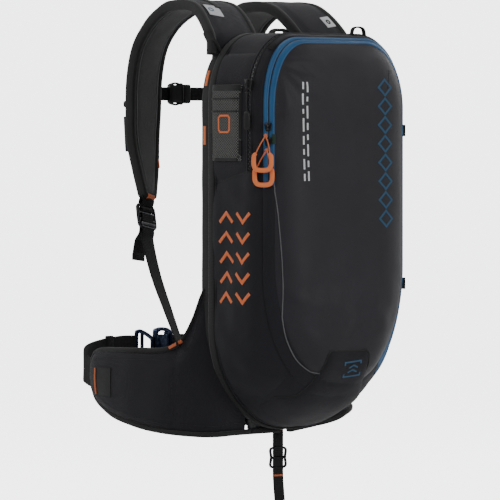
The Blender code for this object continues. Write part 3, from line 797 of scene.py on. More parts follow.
def foldAxis():
    # The fold's middle, its direction and the way that the flap lies from it
    left = skin(atHeight(body["zipLeftEnd"], 0.1085), 0.1085)
    right = skin(10 - atHeight(body["zipRightEnd"], 0.1085), 0.1085)
    along = Vector((right.x - left.x, 0, right.z - left.z)).normalized()
    return Vector((left.x, body["foldDepth"], left.z)), along, Vector((-along.z, 0, along.x))


def bendWithFlap(piece):
    root, _, away = foldAxis()
    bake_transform(piece)


def buildFront():
    def place(s, t):
        u = evenRows(t)
        across = sin((s - 0.5) * pi) * 0.55 + (2 * s - 1) * 0.45
        point = frontPoint(u, across)
        edge = min(1 - abs(across), (point.z - 0.027) / 0.1, (0.44 - point.z) / 0.1)
        inner = min(max(edge * 9, 0), 1)
        slack = 0.0013 * ripple((point.x * 1.6, 0, point.z * 0.55), 17, 4.0)
        corner = Vector((point.x + 0.105, 0, point.z - 0.425))
        slack += 0.0015 * exp(-((corner.length - 0.045) / 0.028) ** 2) * sin(
            9 * atan2(corner.z, corner.x) + 1
        )
        slack += 0.0017 * exp(-((point.z - 0.10) / 0.06) ** 2) * ripple(
            (point.x, 0, point.z * 1.4), 38, 9.0
        )
        return point + Vector((0, -1, 0)) * (slack * inner + 0.0007 * inner - 0.0008)

    panel = sheetPiece("frontPanel", 90, 150, place, (0.21, 0.40), (0, 0, 0.21), 0.0011)
    finishPiece(panel, charcoal, None, ["front_panel", "front_panel_lower"])
    bendWithFlap(panel)
    return panel


def ringStrip(name, uRange, vRange, cols, rows, swell, wall=0.0010, sink=0.0):
    def place(s, t):
        u = uRange[0] + (uRange[1] - uRange[0]) * t
        v = vRange[0] + (vRange[1] - vRange[0]) * s
        lift = swell * (1 - abs(2 * s - 1) ** 4) - sink
        return skin(u, v) + skinNormal(u, v) * lift

    return sheetPiece(
        name, cols, rows, place, (vRange[1] - vRange[0], 1.1 * abs(uRange[1] - uRange[0]) / 7),
        (0, -0.07, 0.21), wall,
    )


def buildBlueZip(leftEnd):
    zipLow, zipMid, zipHigh = body["blueZip"]
    rightEnd = 10 - atHeight(body["zipRightEnd"], zipMid)
    outer = ringStrip(
        "zipTapeOuter", (leftEnd, rightEnd), (zipLow + 0.0003, zipMid - 0.0005), 8, 300, 0.0012, sink=0.0008
    )
    finishPiece(outer, blueTape, "pack", ["zip_tape_outer"])
    inner = ringStrip(
        "zipTapeInner", (leftEnd, rightEnd), (zipMid + 0.0005, zipHigh + 0.0004), 8, 300, 0.0012,
        sink=0.0008,
    )
    finishPiece(inner, blueTape, None, ["zip_tape_inner"])
    bendWithFlap(inner)
    chain = ringStrip(
        "zipChain", (leftEnd, rightEnd), (zipMid - 0.0012, zipMid + 0.0012), 2, 300, 0.0, 0.0008, 0.0007
    )
    finishPiece(chain, blackTape, "pack")

    # below the zip's ends the seam carries on as a plain strip of the body cloth; its reflective piping is
    # laid in buildPiping
    bare = ringStrip("lowerSeam", (rightEnd - 10, leftEnd), (zipLow, zipHigh + 0.0004), 12, 200, 0.0012)
    finishPiece(bare, ink, "pack")
    return bare


pipingLine = (
    (-0.1085, 0.2700), (-0.1045, 0.2370), (-0.1010, 0.1880), (-0.0985, 0.1400), (-0.0965, 0.1120),
    (-0.0930, 0.0900), (-0.0850, 0.0690), (-0.0700, 0.0470), (-0.0500, 0.0330), (-0.0300, 0.0290),
)


def buildPiping():
    # Below the zip's end the seam carries on as a reflective cord across the lower front
    spots = []
    line, _ = stretched(lineThrough([(x, 0.0, z) for x, z in pipingLine]))
    for k in range(60):
        x, _, z = line(k / 59)
        spot, normal = bodyTree.ray_cast(Vector((x, -0.5, z)), Vector((0, 1, 0)))[:2]
        if spot is None:
            spot, normal = bodyTree.find_nearest(Vector((x, -0.13, z)))[:2]
        spots.append(spot + normal * 0.0004)
    cord = tubePiece("seamPiping", spots, 0.0008, 220, 8)
    finishPiece(cord, silverCord, "pack", ["front_piping"])


zipLeftU = buildBody()
buildFront()
buildBlueZip(zipLeftU)
print("stage: body")


def gatherTree(pieces, middle=None):
    # A search tree of the pieces' faces. With a middle, only the faces turned away from it
    points, faces = [], []
    for piece in pieces:
        base = len(points)
        points += [vert.co.copy() for vert in piece.data.vertices]
        for face in piece.data.polygons:
            if middle is None or (face.center - Vector(middle)).dot(face.normal) > 0:
                faces.append([base + k for k in face.vertices])
    return BVHTree.FromPolygons(points, faces)


def sweptPiece(name, frames, radius, around=8, closed=False, power=2):
    # A solid swept through frames, each (place, right, up). radius is (wide, thick), or a function of
    # t giving it
    rows = len(frames) if closed else len(frames) - 1
    length = sum((b[0] - a[0]).length for a, b in zip(frames, frames[1:]))

    def place(s, t):
        mark, right, up = frames[round(t * rows) % len(frames)]
        wide, thick = radius(t) if callable(radius) else radius
        p, q = roundedSection(s, power)
        return mark + right * p * wide + up * q * thick

    return gridPiece(name, around, rows, place, (0.01, length), wrap=True, capped=not closed)


def evenMarks(points, step, closed=False):
    # Points no further apart than step along straight runs, with every corner kept
    points = [Vector(point) for point in points]
    runs = list(zip(points, points[1:] + points[:1] if closed else points[1:]))
    marks = []
    for a, b in runs:
        count = max(1, ceil((b - a).length / step))
        marks += [a.lerp(b, k / count) for k in range(count)]
    return marks if closed else [*marks, points[-1]]


def laidBand(name, tree, points, width, lift=0.0003, step=0.003, closed=False, power=6, sink=0.0):
    # A flat band laid on a surface along points, mitred at its corners
    marks = evenMarks(points, step, closed)
    spots = [tree.find_nearest(mark)[:2] for mark in marks]
    frames = []
    for k, (spot, normal) in enumerate(spots):
        before = spots[k - 1][0] if (k or closed) else spots[0][0] * 2 - spots[1][0]
        after = spots[(k + 1) % len(spots)][0] if (
            k < len(spots) - 1 or closed
        ) else spot * 2 - spots[k - 1][0]
        come, go = (spot - before).normalized(), (after - spot).normalized()
        run = (come + go).normalized()
        turn = max(0.5, sqrt(max((1 + come.dot(go)) / 2, 0.05)))
        side = normal.cross(run).normalized()
        frames.append((spot - normal * sink, side / turn, normal))
    return sweptPiece(name, frames, (width / 2, lift), 8, closed, power)


def meshPiece(name, corners, faces):
    mesh = bpy.data.meshes.new(name)
    mesh.from_pydata(corners, [], faces)
    mesh.update()
    piece = bpy.data.objects.new(name, mesh)
    bpy.context.collection.objects.link(piece)
    editWhole(piece, faceOut)
    return piece


def stitches(name, tree, points, long=0.0028, gap=0.0016, wide=0.0007, lift=0.0004):
    # A row of stitches laid on a surface: each one a small rounded bar
    marks = [Vector(point) for point in points]
    even, total = stretched(lineThrough(marks), 240)
    corners, faces = [], []
    count = int(total / (long + gap))
    for k in range(count):
        middle = (k + 0.5) / count
        reach = long / total / 2
        spots = [tree.find_nearest(Vector(even(middle + reach * f)))[:2] for f in (-1, -0.5, 0.5, 1)]
        run = (spots[-1][0] - spots[0][0]).normalized()
        base = len(corners)
        for f, (spot, normal) in zip((0.35, 1, 1, 0.35), spots):
            side = normal.cross(run).normalized() * wide / 2
            for across, up in ((-1, -0.5), (-0.8, f), (0.8, f), (1, -0.5)):
                corners.append(spot + side * across + normal * up * lift)
        for j in range(3):
            for m in range(4):
                a, b = base + j * 4 + m, base + j * 4 + (m + 1) % 4
                faces.append((a, b, b + 4, a + 4))
        faces += [tuple(base + m for m in (3, 2, 1, 0)), tuple(base + 12 + m for m in range(4))]
    return meshPiece(name, corners, faces)


bodyTree = gatherTree(
    [
        bpy.data.objects[name]
        for name in (
            "sideLower", "sideUpper", "topPanel", "sideRight", "sideRightUpper", "frontGusset",
            "underPanel", "frontPanel", "zipTapeOuter", "zipTapeInner", "lowerSeam",
        )
    ],
    (0, -0.07, 0.21),
)


def sidePoint(y, z):
    # The left side at that depth and height
    return bodyTree.ray_cast(Vector((-0.4, y, z)), Vector((1, 0, 0)))[0]


def frontSpot(x, z):
    return bodyTree.ray_cast(Vector((x, -0.5, z)), Vector((0, 1, 0)))[0]


def alongSkin(v, start, end, count=120):
    return [skin(start + (end - start) * k / (count - 1), v) for k in range(count)]


trims = {"bindingWide": 0.0060, "bindingHigh": 0.0019, "ridge": 0.0017, "seamGroove": 0.0007}


def buildTrims():
    ring = [skin(10 * k / 260, 0.0035) for k in range(260)]
    edge = tubePiece(
        "backBinding", ring, (trims["bindingWide"], trims["bindingHigh"]), 260, 12, closed=True,
        across=(0, 1, 0), power=3,
    )
    finishPiece(edge, binding, "pack")
    seam = atHeight(0.276, 0.03)
    for name, v, start, end, size in (
        ("airbagZipRidgeBack", body["airZip"][0] - 0.0012, seam, 10 - seam, trims["ridge"]),
        ("airbagZipRidgeFront", body["airZip"][1] + 0.0012, seam, 10 - seam, trims["ridge"] * 0.8),
        ("sideBackSeam", 0.0125, 1.0, 9.0, trims["seamGroove"]),
    ):
        path = [skin(start + (end - start) * k / 239, v) for k in range(240)]
        cord = tubePiece(name, path, size, 300, 8)
        finishPiece(cord, ink, "pack")
    across = [skin(seam, 0.098 * k / 18 + 0.001) for k in range(19)]
    groove = laidBand("sideSeam", bodyTree, across, 0.0016, 0.0004)
    finishPiece(groove, binding, "pack")
    rows = [
        alongSkin(v, seam, 10 - seam, 160) for v in (body["airZip"][0] - 0.0042, body["airZip"][1] + 0.0038)
    ]
    thread = [
        stitches(f"zipStitch{k}", bodyTree, row, 0.0026, 0.0014, 0.0005, 0.0003)
        for k, row in enumerate(rows)
    ]
    for k, offset in enumerate((-0.0022, 0.0022)):
        row = [skin(seam, 0.066 * j / 12 + 0.003) + Vector((0, 0, offset)) for j in range(13)]
        thread.append(stitches(f"seamStitch{k}", bodyTree, row, 0.0026, 0.0014, 0.0005, 0.0003))
    joined = joinPieces("bodyStitching", thread)
    finishPiece(joined, binding, "pack")
    teeth = []
    line, total = stretched(lineThrough(alongSkin(sum(body["airZip"]) / 2, seam, 10 - seam, 200)), 400)
    corners, faces = [], []
    count = int(total / 0.0030)
    for k in range(count):
        t = (k + 0.5) / count
        spot = Vector(line(t))
        run = (Vector(line(min(t + 0.002, 1))) - Vector(line(max(t - 0.002, 0)))).normalized()
        normal = Vector((spot.x, 0, spot.z - 0.22)).normalized()
        depth = run.cross(normal).normalized()
        shift = depth * (0.0007 if k % 2 else -0.0007)
        base = len(corners)
        for a in (-1, 1):
            for b in (-1, 1):
                for c in (-1, 1):
                    corners.append(
                        spot + shift + run * a * 0.0009 + depth * b * 0.0012
                        + normal * (c * 0.0006 + 0.0004)
                    )
        for quad in ((0, 1, 3, 2), (4, 6, 7, 5), (0, 4, 5, 1), (2, 3, 7, 6), (0, 2, 6, 4), (1, 5, 7, 3)):
            faces.append([base + m for m in quad])
    finishPiece(meshPiece("airbagZipTeeth", corners, faces), blackPlastic, "pack", angle=30)


guard = {
    "rows": 46,
    "halves": (
        (0.090, 0.024), (0.062, 0.027), (0.053, 0.035), (0.022, 0.041), (-0.0045, 0.052), (-0.0215, 0.070),
        (-0.06, 0.074),
    ),
    "thick": 0.0026,
}


def guardHalf(z):
    rows = guard["halves"]
    for (high, wide), (low, wider) in zip(rows, rows[1:]):
        if z >= low:
            return wide + (wider - wide) * min(max((high - z) / (high - low), 0), 1)
    return rows[-1][1]


def buildGuard():
    hub = Vector((0, -0.070, 0.045))

    def cast(x, turn):
        way = Vector((0, -cos(turn), sin(turn)))
        hit = bodyTree.ray_cast(Vector((x, hub.y, hub.z)) + way * 0.3, -way)
        if hit[0] is None:
            hit = bodyTree.find_nearest(Vector((x, hub.y, hub.z)) + way * 0.09)
        return hit[0], hit[1]

    first, last = radians(10), radians(-104)

    def place(s, t):
        turn = first + (last - first) * t
        z = cast(0.0, turn)[0].z
        half = guardHalf(z)
        edge = (2 * s - 1) * half
        spot, normal = cast(edge, turn)
        rim = 1 - max(abs(2 * s - 1) ** 8, max(0, 1 - t * 14) ** 2)
        return spot + normal * (0.0003 + guard["thick"] * rim) + normal * 0.0004 * ripple(spot, 40, 2.0)

    piece = sheetPiece("bottomGuard", 40, guard["rows"], place, (0.12, 0.14), (0, -0.05, 0.1), 0.0009)
    finishPiece(piece, ink, "pack")
    rim = []
    for k in range(25):
        turn = first + (last - first) * (1 - k / 24) * 0.75
        half = guardHalf(cast(0.0, turn)[0].z)
        rim.append(cast(-half, turn)[0])
    across = [cast(x, first)[0] for x in (-0.020, -0.007, 0.007, 0.020)]
    mirrored = [Vector((-spot.x, spot.y, spot.z)) for spot in reversed(rim)]
    welt = tubePiece("guardWelt", [*rim, *across, *mirrored], 0.0009, 160, 6)
    finishPiece(welt, binding, "pack")
    # a plain outlined mark of nested bars
    tree = gatherTree([piece])

    def on(x, z):
        hit = tree.ray_cast(Vector((x, -0.5, z)), Vector((0, 1, 0)))
        return hit[0]

    frame = [
        on(x, z) for x, z in ((-0.0050, 0.0430), (0.0215, 0.0455), (0.0250, 0.0270), (-0.0010, 0.0245))
    ]
    marks = [laidBand("guardFrame", tree, frame, 0.0024, 0.0004, 0.002, closed=True)]
    for k in range(2):
        low = 0.0302 + 0.0058 * k
        bar = [on(0.0035, low), on(0.0105, low + 0.0036), on(0.0180, low + 0.0010)]
        marks.append(laidBand(f"guardBar{k}", tree, bar, 0.0021, 0.0004, 0.002))
    finishPiece(joinPieces("guardMark", marks), bluePrint, "pack")


prints = {"orange": 0.0044, "blue": 0.0030, "white": 0.0026}


def buildPrints():
    # Plain bars and chevrons stand where a pack like this carries its lettering
    strokes = []
    for k in range(5):
        z = 0.2280 - 0.0255 * k
        for column, (back, front, flip) in enumerate(((-0.041, -0.066, 1), (-0.074, -0.099, -1))):
            points = ((back, -0.0060 * flip), ((back + front) / 2, 0.0060 * flip), (front, -0.0060 * flip))
            chevron = [sidePoint(y, z + rise) for y, rise in points]
            strokes.append(
                laidBand(f"chevron{column}{k}", bodyTree, chevron, prints["orange"], 0.0003, 0.002)
            )
    finishPiece(joinPieces("sidePrint", strokes), orangePrint, "pack")

    dashes = []
    for x, pattern in ((-0.0700, (9, 14, 6, 17, 11, 7, 13, 9)), (-0.0635, (13, 6, 16, 9, 7, 15, 8, 12))):
        z = 0.400
        for k, long in enumerate(pattern):
            run = [frontSpot(x, z), frontSpot(x, z - long * 0.001)]
            dashes.append(laidBand(f"dash{k}", bodyTree, run, prints["white"], 0.00025, 0.004))
            z -= long * 0.001 + 0.0056
    finishPiece(joinPieces("frontDashes", dashes), whitePrint, None)
    bendWithFlap(bpy.data.objects["frontDashes"])

    # a column of plain outlined diamonds
    shapes = []
    for k in range(8):
        x, z, half, tall = 0.0715 - 0.0004 * k, 0.3940 - 0.0240 * k, 0.0118, 0.0100
        spots = [frontSpot(*spot) for spot in ((x - half, z), (x, z - tall), (x + half, z), (x, z + tall))]
        shapes.append(laidBand(f"shape{k}", bodyTree, spots, prints["blue"], 0.0003, 0.002, closed=True))
    finishPiece(joinPieces("frontShapes", shapes), bluePrint, None)
    bendWithFlap(bpy.data.objects["frontShapes"])

    darts = [
        stitches(
            "dartLeft",
            bodyTree,
            [frontSpot(-0.068 + 0.020 * k / 4, 0.4215 - 0.016 * k / 4) for k in range(5)],
            0.002,
            0.001,
            0.0005,
        ),
        stitches(
            "dartRight",
            bodyTree,
            [frontSpot(0.083 - 0.0015 * k, 0.417 - 0.0062 * k) for k in range(5)],
            0.002,
            0.001,
            0.0005,
        ),
    ]
    finishPiece(joinPieces("frontDarts", darts), binding, None)
    bendWithFlap(bpy.data.objects["frontDarts"])


buildTrims()
buildPiping()
buildGuard()
buildPrints()
print("stage: trims and prints")


def cornerFrame(z, v):
    u = atHeight(z, v)
    normal = skinNormal(u, v)
    down = Vector((0, 0, -1))
    forward = normal.cross(down).normalized()
    if forward.y > 0:
        forward = -forward
    return skin(u, v), normal, forward, down


def sliderPiece(name, z, v, lift, material, bodyName, node, scale=1.0):
    point, normal, forward, down = cornerFrame(z, v)
    centre = point + normal * (lift + 0.0016 * scale)

    def place(s, t):
        p, q = roundedSection(s, 5)
        wide = (0.0048 - 0.0018 * t**2) * scale
        thick = 0.0017 * scale * (1 - 0.45 * abs(2 * t - 1) ** 6)
        return centre + forward * p * wide + normal * q * thick + down * (t - 0.5) * 0.0105 * scale

    plate = gridPiece(f"{name}Plate", 20, 12, place, (0.02, 0.012), wrap=True)
    arch = [
        centre + down * step * scale + normal * rise * scale
        for step, rise in (
            (-0.0042, 0.0010), (-0.0038, 0.0034), (0.0, 0.0044), (0.0034, 0.0036), (0.0038, 0.0010)
        )
    ]
    bail = tubePiece(f"{name}Bail", arch, (0.0012 * scale, 0.0008 * scale), 18, 8, across=forward)
    groove = boxPiece(
        f"{name}Nose", centre - down * 0.0048 * scale, forward, down, normal,
        (0.0034 * scale, 0.0016, 0.0028 * scale), 0.0004,
    )
    whole = joinPieces(name, [plate, bail, groove])
    finishPiece(whole, material, bodyName, [node])
    return centre + normal * 0.0042 * scale + down * 0.0028 * scale


def pullPiece(name, z, v, lift, long, bodyName, node, color, half=0.0118, cordColor=None, shift=0.004):
    point, normal, forward, down = cornerFrame(z, v)
    base = point + normal * (lift + 0.0016)
    side = forward

    def at(a, b, c=0.0):
        return base + side * a + down * b + normal * c

    mid = -shift
    if half > 0.008:
        tips = (mid - half + 0.0006, mid + half - 0.0006)
        top, low = long - 0.0225, long - 0.0026
        bow = [
            at(tips[0] + 0.0030, top - 0.0010), at(tips[0] + 0.0012, top + 0.0006),
            at(tips[0], top + 0.0035), at(tips[0] + 0.0002, low - 0.006),
            at(tips[0] + 0.0035, low - 0.0008), at(mid, low + 0.0004), at(tips[1] - 0.0035, low - 0.0008),
            at(tips[1] - 0.0002, low - 0.006), at(tips[1], top + 0.0035),
            at(tips[1] - 0.0012, top + 0.0006), at(tips[1] - 0.0030, top - 0.0010),
        ]
        grip = tubePiece(
            f"{name}Grip", bow, lambda t: (0.0031 - 0.0012 * abs(2 * t - 1) ** 10, 0.0024), 70, 14,
            across=normal.cross(down), power=2.6,
        )
        finishPiece(grip, color, bodyName, [node])
        left = [at(0, 0.001), at(tips[0] * 0.45, top * 0.5, 0.0006), at(tips[0] + 0.0016, top + 0.001)]
        right = [
            at(0, 0.001), at(tips[1] * 0.45 + 0.0006, top * 0.5, 0.0008), at(tips[1] - 0.0016, top + 0.001)
        ]
        strands = [
            tubePiece(f"{name}Strand{k}", path, 0.00085, 26, 7) for k, path in enumerate((left, right))
        ]
    else:
        def place(s, t):
            p, q = roundedSection(s, 3)
            wide = half * (0.75 + 0.25 * sin(t * 2.6))
            taper = (1 - abs(2 * t - 1) ** 12) ** 0.5 if 0 < t < 1 else 0.02
            return at(mid + p * wide * taper, long * (0.5 + 0.5 * t), q * 0.0016 * taper)

        grip = gridPiece(f"{name}Grip", 18, 26, place, (0.02, 0.024), wrap=True)
        finishPiece(grip, color, bodyName, [node])
        strands = [
            tubePiece(
                f"{name}Strand",
                [at(0, 0.001), at(mid * 0.5, long * 0.25, 0.001), at(mid, long * 0.52)],
                0.0010,
                20,
                7,
            )
        ]
    bpy.ops.mesh.primitive_uv_sphere_add(segments=14, ring_count=10, radius=0.0022, location=at(0, 0.001))
    knot = bpy.context.object
    for vert in knot.data.vertices:
        vert.co += vert.co.normalized() * 0.0004 * sin(atan2(vert.co.y, vert.co.x) * 3 + vert.co.z * 1500)
    deselect()
    knot.select_set(True)
    bpy.context.view_layer.objects.active = knot
    bpy.ops.object.transform_apply(location=True, rotation=True, scale=True)
    cord = joinPieces(f"{name}Cord", [*strands, knot])
    finishPiece(cord, cordColor or color, bodyName)


sliderPiece("upperSlider", 0.343, 0.1043, 0.0014, darkMetal, "upper_slider", "zip_slider_upper")
sliderPiece("lowerSlider", 0.324, 0.1043, 0.0014, darkMetal, "lower_slider", "zip_slider_lower")
pullPiece(
    "upperPull", 0.333, 0.1030, 0.0100, 0.047, "upper_pull", "zip_pull_upper", orangePlastic,
    cordColor=orangeThread,
)
pullPiece(
    "lowerPull", 0.3145, 0.1030, 0.0038, 0.047, "lower_pull", "zip_pull_lower", orangePlastic,
    cordColor=orangeThread,
)
sliderPiece("airSlider", 0.396, 0.0780, 0.0030, blackPlastic, "airbag_slider", "airbag_slider", 1.25)
pullPiece(
    "airPull", 0.3865, 0.0780, 0.0048, 0.048, "airbag_pull", "airbag_pull", blackPlastic, half=0.005,
    shift=0.0,
)
print("stage: zip sliders")


pocket = {"low": (-0.084, 0.300), "high": (-0.026, 0.396), "lift": 0.0050}


def buildPocket():
    (front, bottom), (back, top) = pocket["low"], pocket["high"]

    def place(s, t):
        y, z = back + (front - back) * s, bottom + (top - bottom) * t
        spot = sidePoint(y, z)
        swell = (1 - abs(2 * s - 1) ** 6) * (1 - max(0, 1 - t * 6) ** 3)
        return spot + Vector((-1, 0, 0)) * (0.0008 + pocket["lift"] * swell * (0.75 + 0.25 * t))

    net = sheetPiece("sidePocket", 30, 50, place, (0.058, 0.096), (0, -0.05, 0.34), 0.0008)
    finishPiece(net, netting, "pack", ["side_mesh_pocket"])
    tree = gatherTree([net])

    def on(y, z):
        return tree.ray_cast(Vector((-0.4, y, z)), Vector((1, 0, 0)))[0]

    y0, y1 = front + 0.0015, back - 0.0015
    bands = []
    for k, (z, wide) in enumerate(((top - 0.003, 0.008), (top - 0.0170, 0.0022), (top - 0.0330, 0.0022))):
        row = [on(y1 + (y0 - y1) * j / 12, z) for j in range(13)]
        bands.append(laidBand(f"pocketBand{k}", tree, row, wide, 0.0009, 0.004))
    edge = [
        (y1, top - 0.004), (y1, bottom + 0.008), (y1 - 0.006, bottom + 0.002),
        (y0 + 0.006, bottom + 0.002), (y0, bottom + 0.008), (y0, top - 0.004),
    ]
    bands.append(laidBand("pocketEdge", tree, [on(*spot) for spot in edge], 0.0040, 0.0009, 0.003))
    finishPiece(joinPieces("pocketBinding", bands), binding, "pack")
    y, z, h, w, c = -0.056, 0.3470, 0.0105, 0.0105, 0.0030
    ring = [(y - w + c, z - h), (y + w - c, z - h), (y + w, z - h + c), (y + w, z + h - c)]
    ring += [(y + w - c, z + h), (y - w + c, z + h), (y - w, z + h - c), (y - w, z - h + c)]
    mark = laidBand("pocketMark", tree, [on(*spot) for spot in ring], 0.0026, 0.0006, 0.002, closed=True)
    finishPiece(mark, orangePrint, "pack")


def makeNetting():
    # Diagonal net with dark openings
    material, tree, shader, where = startMaterial("netting")
    calc = partial(mathNode, tree)
    apart = tree.nodes.new("ShaderNodeSeparateXYZ")
    tree.links.new(where.outputs["UV"], apart.inputs[0])
    waves = []
    for operation in ("ADD", "SUBTRACT"):
        total = calc(operation, apart.outputs[0], apart.outputs[1])
        waves.append(calc("ABSOLUTE", calc("SINE", calc("MULTIPLY", total, 900.0))))
    thread = calc("MINIMUM", waves[0], waves[1])
    lit = calc("SUBTRACT", 1.0, calc("MULTIPLY", thread, 1.5))
    tree.links.new(
        blendColors(tree, lit, (0.007, 0.007, 0.007), (0.200, 0.200, 0.192)), shader.inputs["Base Color"]
    )
    shader.inputs["Roughness"].default_value = 0.75
    addBump(tree, shader, lit, 0.0005, 0.8)
    return material


netting = makeNetting()


def loopPiece(name, centre, out, along, wide, high, long, thick, node, material=webbing):
    # A folded webbing loop that stands out from the body
    centre, out, along = Vector(centre), Vector(out).normalized(), Vector(along).normalized()
    across = out.cross(along).normalized()
    path = [
        centre + across * -high * 0.9 - out * 0.001, centre + across * -high + out * long * 0.45,
        centre + across * -high * 0.6 + out * long * 0.9, centre + out * long,
        centre + across * high * 0.6 + out * long * 0.9, centre + across * high + out * long * 0.45,
        centre + across * high * 0.9 - out * 0.001,
    ]
    piece = strapPiece(name, lineThrough(path), tuple(along), wide / 2, thick / 2, 36, 12, 5)
    finishPiece(piece, material, "pack", [node] if node else [])
    return piece


def buildLoops():
    low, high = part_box("top_loop")
    spot = Vector(((low.x + high.x) / 2, -0.100, skin(5, 0.08).z))
    path = [
        (low.x + 0.001, -0.100, spot.z - 0.003), (low.x + 0.004, -0.100, high.z - 0.0015),
        ((low.x + high.x) / 2, -0.100, high.z + 0.001),
    ]
    path += [(high.x - 0.004, -0.100, high.z - 0.0015), (high.x - 0.001, -0.100, spot.z - 0.003)]
    piece = tubePiece("topLoop", path, (0.0035, 0.0011), 30, 10, across=(0, 1, 0), power=3)
    finishPiece(piece, webbing, "pack", ["top_loop"])
    for word in ("upper", "lower"):
        low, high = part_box(f"gear_loop_{word}")
        middle = (low + high) / 2
        u = 10 - atHeight(middle.z, 0.095)
        out = skinNormal(u, 0.095)
        base = skin(u, 0.095)
        reach = (Vector((high.x, low.y, middle.z)) - base).dot(out)
        loopPiece(
            f"gearLoop{word.title()}", base, out, (0, 0, 1), 0.0150, 0.0022, 0.0062, 0.0012,
            f"gear_loop_{word}",
        )
    # small folded tags
    point, normal, forward, down = cornerFrame(0.3275, 0.1110)
    tag = boxPiece(
        "greenTag", point + normal * 0.0012, forward, down, normal, (0.0050, 0.0125, 0.0016), 0.0005
    )
    finishPiece(tag, greenTag, "pack")
    u = 3.62
    spot, out = skin(u, 0.0900), skinNormal(u, 0.0900)
    run = (skin(u + 0.02, 0.09) - skin(u - 0.02, 0.09)).normalized()
    tab = boxPiece(
        "cornerTab", spot + out * 0.0016, run, out.cross(run), out, (0.012, 0.0075, 0.0018), 0.0006
    )
    finishPiece(tab, webbing, "pack")


buildPocket()
buildLoops()
print("stage: pocket and loops")


strapLine = (
    (0.080, -0.0100, 0.4330, 0.0370), (0.076, -0.0020, 0.4620, 0.0390), (0.068, 0.040, 0.4960, 0.0370),
    (0.066, 0.095, 0.5010, 0.0335), (0.068, 0.126, 0.4900, 0.0320), (0.070, 0.150, 0.4720, 0.0315),
    (0.074, 0.166, 0.4460, 0.0315), (0.077, 0.173, 0.4080, 0.0315), (0.079, 0.173, 0.3650, 0.0310),
    (0.083, 0.169, 0.3260, 0.0280), (0.088, 0.158, 0.2890, 0.0210), (0.095, 0.144, 0.2500, 0.0110),
)
strap = {"thick": 0.0058, "binding": 0.0042, "turn": radians(14.8), "piping": 0.0006}


def strapSide(hand, t):
    turned = Vector((-hand * cos(strap["turn"]), sin(strap["turn"]), 0))
    return Vector((-hand, 0, 0)).lerp(turned, min(t * 11 / 5, 1))


def strapCurve(hand):
    return lineThrough([(hand * x, y, z, half) for x, y, z, half in strapLine])


def strapFrame(hand, at, t):
    centre, run, side, out = frameAt(at, t, strapSide(hand, t))
    if out.y * (1 if t > 0.5 else 0) + out.z * (1 if t <= 0.5 else 0) < 0:
        out = -out
    return centre, run, side, out


def buildStrap(hand, word):
    at = strapCurve(hand)
    rows, around = 110, 36

    def place(s, t):
        centre, run, side, out = strapFrame(hand, at, t)
        half = at(t)[3] - 0.0008
        p, q = roundedSection(s, 4.2)
        crown = (1 - abs(p) ** 3) * 0.0011 - 0.0009 * exp(-(((abs(p) - 0.74) / 0.05) ** 2))
        creases = 0.0005 * ripple((t * 0.55, p * 0.03, hand), 40, 3.0)
        thick = strap["thick"] + (crown + creases) * (1 if t < 0.985 else 0)
        end = min(1, (1 - t) * 40 + 0.35)
        return centre + side * p * half * min(1, end) + out * q * thick

    pad = gridPiece(f"strapPad{word}", around, rows, place, (0.13, 0.47), wrap=True)
    mesh = pad.data
    mesh.materials.append(inkSoft)
    mesh.materials.append(liningSoft)
    for face in mesh.polygons:
        t = min(max(nearestShare(at, face.center), 0), 1)
        centre, run, side, out = strapFrame(hand, at, t)
        face.material_index = 1 if (face.center - centre).dot(out) < -0.002 else 0
    pick(pad)
    bpy.ops.object.shade_smooth_by_angle(angle=radians(60))
    root = Vector(at(0)[:3])
    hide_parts(f"strap_pad_{word.lower()}")
    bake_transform(pad)

    frames, piping, stitchRow = [], [], []
    steps = 90
    for edge in (1, -1):
        order = range(steps + 1) if edge == 1 else range(steps, -1, -1)
        for k in order:
            t = k / steps * 0.985
            centre, run, side, out = strapFrame(hand, at, t)
            half = at(t)[3]
            frames.append((centre + side * edge * (half - 0.0030), side * edge, out))
            piping.append(
                (centre + side * edge * (half - 0.0098) - out * (strap["thick"] + 0.0006), side * edge, out)
            )
            stitchRow.append(centre + side * edge * (half - 0.0062) - out * (strap["thick"] + 0.001))
        if edge == 1:
            centre, run, side, out = strapFrame(hand, at, 0.985)
            half = at(0.985)[3] - 0.0030
            for j in range(1, 8):
                turn = pi * j / 8
                away = side * cos(turn) + run * sin(turn)
                frames.append((centre + side * cos(turn) * half + run * sin(turn) * 0.005, away, out))
    band = sweptPiece(
        f"strapBinding{word}", frames, (strap["binding"], strap["thick"] + 0.0010), 16, False, 4
    )
    finishPiece(band, bindingSoft, None)
    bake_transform(band)
    line = sweptPiece(f"strapPiping{word}", piping, (strap["piping"], strap["piping"]), 6)
    finishPiece(line, silverCord, None)
    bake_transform(line)
    return pad


def nearestShare(at, spot, count=88):
    best, share = 9.0, 0.0
    for k in range(count + 1):
        gap = (Vector(at(k / count)[:3]) - spot).length_squared
        if gap < best:
            best, share = gap, k / count
    return share


def softCopy(material, name):
    # The same cloth, drawn from object space for pieces whose own layout is lost when they are filled
    copy = material.copy()
    copy.name = name
    tree = copy.node_tree
    where = next(node for node in tree.nodes if node.type == "TEX_COORD")
    for link in list(tree.links):
        if link.from_node == where and link.from_socket.name == "UV":
            target = link.to_socket
            tree.links.new(where.outputs["Object"], target)
    return copy


inkSoft = softCopy(ink, "inkSoft")
liningSoft = softCopy(heather, "liningSoft")
bindingSoft = softCopy(binding, "bindingSoft")
meshSoft = softCopy(padMesh, "meshSoft")


def strapPatch(name, hand, t, across, long, wide, lift=0.0008):
    # A flat patch on the strap's face, following its curve
    at = strapCurve(hand)

    def place(s, k):
        share = t + (k - 0.5) * long / 0.47
        centre, run, side, out = strapFrame(hand, at, share)
        half = at(share)[3]
        return centre + side * (across * half + (s - 0.5) * wide) + out * (strap["thick"] + lift + 0.0008)

    return sheetPiece(name, 8, 14, place, (wide, long), Vector(at(t)[:3]), lift)


